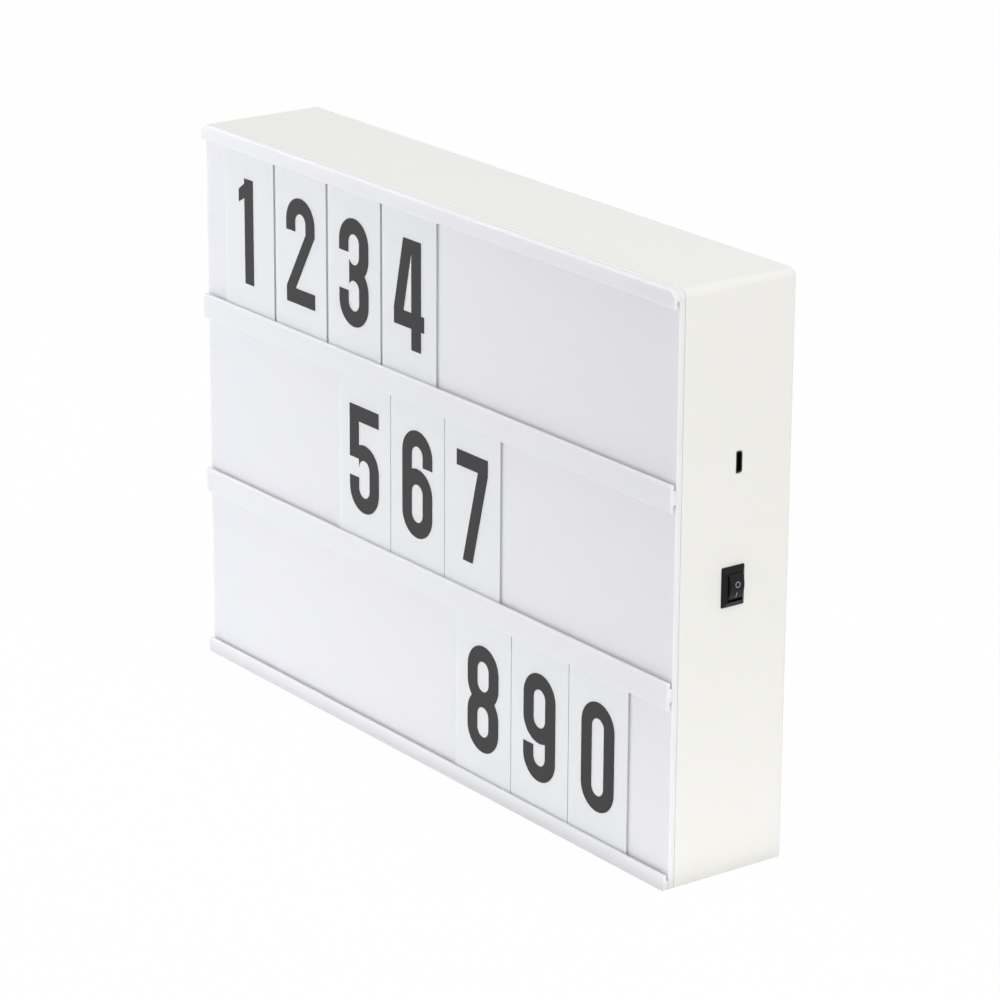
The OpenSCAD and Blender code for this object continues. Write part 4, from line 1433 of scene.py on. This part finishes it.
@dataclass
class Leads:
    """The sleeved leads between battery bay, switch, board and strips, held at both ends."""

    radius: float = 0.7
    steps: int = 10

    def route(self, points: Sequence[Point]) -> list[Vector]:
        """Runs a smooth path through given points, with straight ends.

        Args:
            points: The points in millimetres.

        Returns:
            The path's points in millimetres.
        """
        q = [Vector(p) for p in points]
        path = [q[0]]
        for i in range(1, len(q) - 2):
            a, b, c, d = q[i - 1 : i + 3]
            for step in range(self.steps):
                t = step / self.steps
                path.append(0.5 * (
                    2 * b + (c - a) * t + (2 * a - 5 * b + 4 * c - d) * t**2
                    + (3 * b - a - 3 * c + d) * t**3
                ))
        return path + q[-2:]

    def from_bay(self, start: Point, end: Point, bow: Point) -> list[Vector]:
        """Runs a lead from the bay's side wall, straight along X at both ends."""
        a, b, bend, out = Vector(start), Vector(end), Vector(bow), Vector((4, 0, 0))
        return self.route([
            a, a + out, a.lerp(b, 0.25) + bend, a.lerp(b, 0.6) + bend, b - 3 * out, b - out, b,
        ])

    def to_strip(self) -> list[Vector]:
        """Runs the lead from the switch's lower terminal to the lower strip's right end."""
        a, b = Vector((131.5, 1.2, 106.4)), Vector((129, -2, 2.9))
        foot, out, up = b + Vector((5, 0, 0)), Vector((4, 0, 0)), Vector((0, 0, 4))
        return self.route([
            a, a - out, a.lerp(foot, 0.2) - 2 * out, a.lerp(foot, 0.6) - out, foot + 5 * up,
            foot + up, b + Vector((2.5, 0, 0)), b,
        ])

    def between_strips(self) -> list[Vector]:
        """Runs the lead down the left wall, between the two strips' ends."""
        a, b = Vector((-129, -2, 219.1)), Vector((-129, -2, 2.9))
        side, out = Vector((-5, 0, 0)), Vector((0, 0, 4))
        return self.route([
            a, a + side / 2, a + side - out, a + side - 5 * out,
            a.lerp(b, 0.5) + side + Vector((-5, 5, 0)), b + side + 5 * out, b + side + out,
            b + side / 2, b,
        ])

    def build(self, finishes: Finishes) -> None:
        """Builds the four leads and hands them over."""
        red, black = (finishes.red_lead, "lead_red"), (finishes.black_lead, "lead_black")
        to_switch = self.from_bay((47.5, 14.2, 68.6), (131.5, 1.2, 113.6), (0, -5, 0))
        to_board = self.from_bay((47.5, 14.2, 28), (129, 4.85, 155.5), (0, 5, 0))
        for node, path, (finish, slot) in (
            ("battery_lead", to_switch, red),
            ("board_lead", to_board, black),
            ("switch_lead", self.to_strip(), red),
            ("strip_lead", self.between_strips(), black),
        ):
            hand_over(tube(f"{node}_sleeve", path, self.radius), finish, slot, "light_box", node, crease=60)


@dataclass
class Lamps:
    """The LED strips, their lamps and resistors, and the power board behind the inlet."""

    lamp_pitch: float = 22
    strip_y: float = -2

    def build(self, frame: Mapping, finishes: Finishes) -> None:
        """Dresses the nodes, whose shapes stay."""
        lamp = LampWindow("led_housing", self.lamp_pitch, self.strip_y).build()
        dress(frame, lamp, "upper_leds", "lower_leds")
        dress(frame, finishes.strip, "upper_led_strip", "lower_led_strip")
        dress(frame, finishes.chip, "strip_resistors", "power_board_parts")
        dress(frame, finishes.board, "power_board")
        dress(frame, finishes.zinc, "power_board_screws")


# --------------------------------------------------------------------------------------------------
# The studio
# --------------------------------------------------------------------------------------------------


@dataclass
class SoftBox:
    """A rectangular lamp that looks at the box."""

    name: str
    place: tuple[float, float, float]
    size: tuple[float, float]
    power: float
    tint: tuple[float, float, float] = (1, 1, 1)
    target: tuple[float, float, float] = (0, 0, 0.11)
    shown: bool = True

    def build(self) -> None:
        """Adds the lamp."""
        light = bpy.data.lights.new(self.name, "AREA")
        light.shape = "RECTANGLE"
        light.size, light.size_y = self.size
        light.energy = self.power
        light.color = self.tint
        lamp = bpy.data.objects.new(self.name, light)
        lamp.location = self.place
        way = Vector(self.target) - Vector(self.place)
        lamp.rotation_euler = way.to_track_quat("-Z", "Y").to_euler()
        lamp.visible_camera = lamp.visible_glossy = self.shown
        bpy.context.scene.collection.objects.link(lamp)


@dataclass
class Studio:
    """A pale floor, a white surround, soft lamps, and the camera at the photograph's angle."""

    camera_place: tuple[float, float, float] = (1.22118, -0.88892, 0.60774)
    right: tuple[float, float, float] = (0.59120, 0.80650, 0.00570)
    up: tuple[float, float, float] = (-0.25970, 0.18367, 0.94806)
    forward: tuple[float, float, float] = (-0.76357, 0.56198, -0.31804)
    lens: float = 150.99
    ambient: float = 0.45
    floor_share: float = 0.98
    floor_size: float = 30
    lamps: list[SoftBox] = field(default_factory=lambda: [
        SoftBox("left_lamp", (-0.9, -0.6, 0.35), (0.6, 0.6), 5.4, (0.95, 0.97, 1.06)),
        SoftBox("right_low_lamp", (1.4, 0.1, 0.2), (0.5, 0.5), 2.8),
        SoftBox("right_high_lamp", (1.1, -0.1, 1.5), (0.8, 0.8), 8.4),
        SoftBox("top_lamp", (0.1, 0.3, 2.4), (1.6, 1.6), 14.2),
        SoftBox(
            "front_floor_card", (0, -0.11, 0.002), (0.34, 0.16), 0.05, target=(0, -0.11, 1), shown=False
        ),
        SoftBox(
            "right_floor_card", (0.235, 0, 0.002), (0.16, 0.2), 0.03, target=(0.235, 0, 1), shown=False
        ),
    ])

    def seen(self, tree: bpy.types.NodeTree) -> Socket:
        """Gives 1 for camera, glossy and transmission rays, and 0 for the light that falls."""
        path = add_node(tree, "ShaderNodeLightPath").outputs
        both = add_node(
            tree, "ShaderNodeMath", {0: path["Is Camera Ray"], 1: path["Is Glossy Ray"]},
            operation="MAXIMUM",
        ).outputs[0]
        return add_node(
            tree, "ShaderNodeMath", {0: both, 1: path["Is Transmission Ray"]}, operation="MAXIMUM"
        ).outputs[0]

    def world(self) -> None:
        """Makes the surround white to the eye and level in its light."""
        world = bpy.data.worlds.new("white_surround")
        world.use_nodes = True
        tree = world.node_tree
        tree.nodes.clear()
        light = add_node(
            tree, "ShaderNodeBackground", {0: linear("#FFFFFF"), 1: self.ambient}
        ).outputs[0]
        white = add_node(tree, "ShaderNodeBackground", {0: linear("#FFFFFF"), 1: 1.0}).outputs[0]
        mix = add_node(tree, "ShaderNodeMixShader", {0: self.seen(tree), 1: light, 2: white})
        add_node(tree, "ShaderNodeOutputWorld", {0: mix.outputs[0]})
        bpy.context.scene.world = world

    def floor(self) -> None:
        """Makes the pale floor, which keeps the box's shadow."""
        bpy.ops.object.select_all(action="DESELECT")
        bpy.ops.mesh.primitive_plane_add(size=self.floor_size)
        floor = keep_primitive("studio_floor")
        material, tree = new_tree("painted_floor")
        paint = add_node(tree, "ShaderNodeBsdfDiffuse", {0: linear("#F4F4F4")}).outputs[0]
        glow = add_node(tree, "ShaderNodeEmission", {0: linear("#FFFFFF"), 1: 1.0}).outputs[0]
        share = add_node(
            tree, "ShaderNodeMath", {0: self.seen(tree), 1: self.floor_share}, operation="MULTIPLY"
        ).outputs[0]
        mix = add_node(tree, "ShaderNodeMixShader", {0: share, 1: paint, 2: glow})
        add_node(tree, "ShaderNodeOutputMaterial", {0: mix.outputs[0]})
        floor.data.materials.append(material)

    def camera(self) -> None:
        """Places the camera as the photograph was taken."""
        lens = bpy.data.cameras.new("portrait_lens")
        lens.lens = self.lens
        lens.sensor_width = 36
        lens.clip_end = 100
        camera = bpy.data.objects.new("portrait_camera", lens)
        back = -Vector(self.forward)
        turn = Matrix((self.right, self.up, back)).transposed().to_4x4()
        camera.matrix_world = Matrix.Translation(self.camera_place) @ turn
        bpy.context.scene.collection.objects.link(camera)
        bpy.context.scene.camera = camera

    def build(self) -> None:
        """Sets up the studio."""
        self.camera()
        self.world()
        self.floor()
        for lamp in self.lamps:
            lamp.build()
        bpy.context.scene.view_settings.view_transform = "Standard"


def main() -> None:
    """Builds the studio and every sub-assembly in order."""
    logging.basicConfig(level=logging.INFO, format="%(name)s: %(message)s")
    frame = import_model()
    Studio().build()
    finishes = Finishes()
    sizes = BoxSizes()
    CaseTub(sizes).build(finishes)
    FrontPanel(sizes).build(finishes)
    for rail in (
        CardRail(sizes, "top_rail", 215.6, 6.4, below=2.6, soft=0.5),
        CardRail(sizes, "upper_middle_rail", 142.4, 10.1, below=2.6, above=2.3),
        CardRail(sizes, "lower_middle_rail", 69.2, 10.1, below=2.6, above=2.3),
        CardRail(sizes, "bottom_rail", 0, 6.1, above=2.3),
    ):
        rail.build(finishes)
    CardSet().build(frame, finishes)
    RockerSwitch().build(frame, finishes)
    PowerInlet().build(frame, finishes)
    BatteryBay(sizes).build(frame, finishes)
    Leads().build(finishes)
    Lamps().build(frame, finishes)


if __name__ == "__main__":
    main()
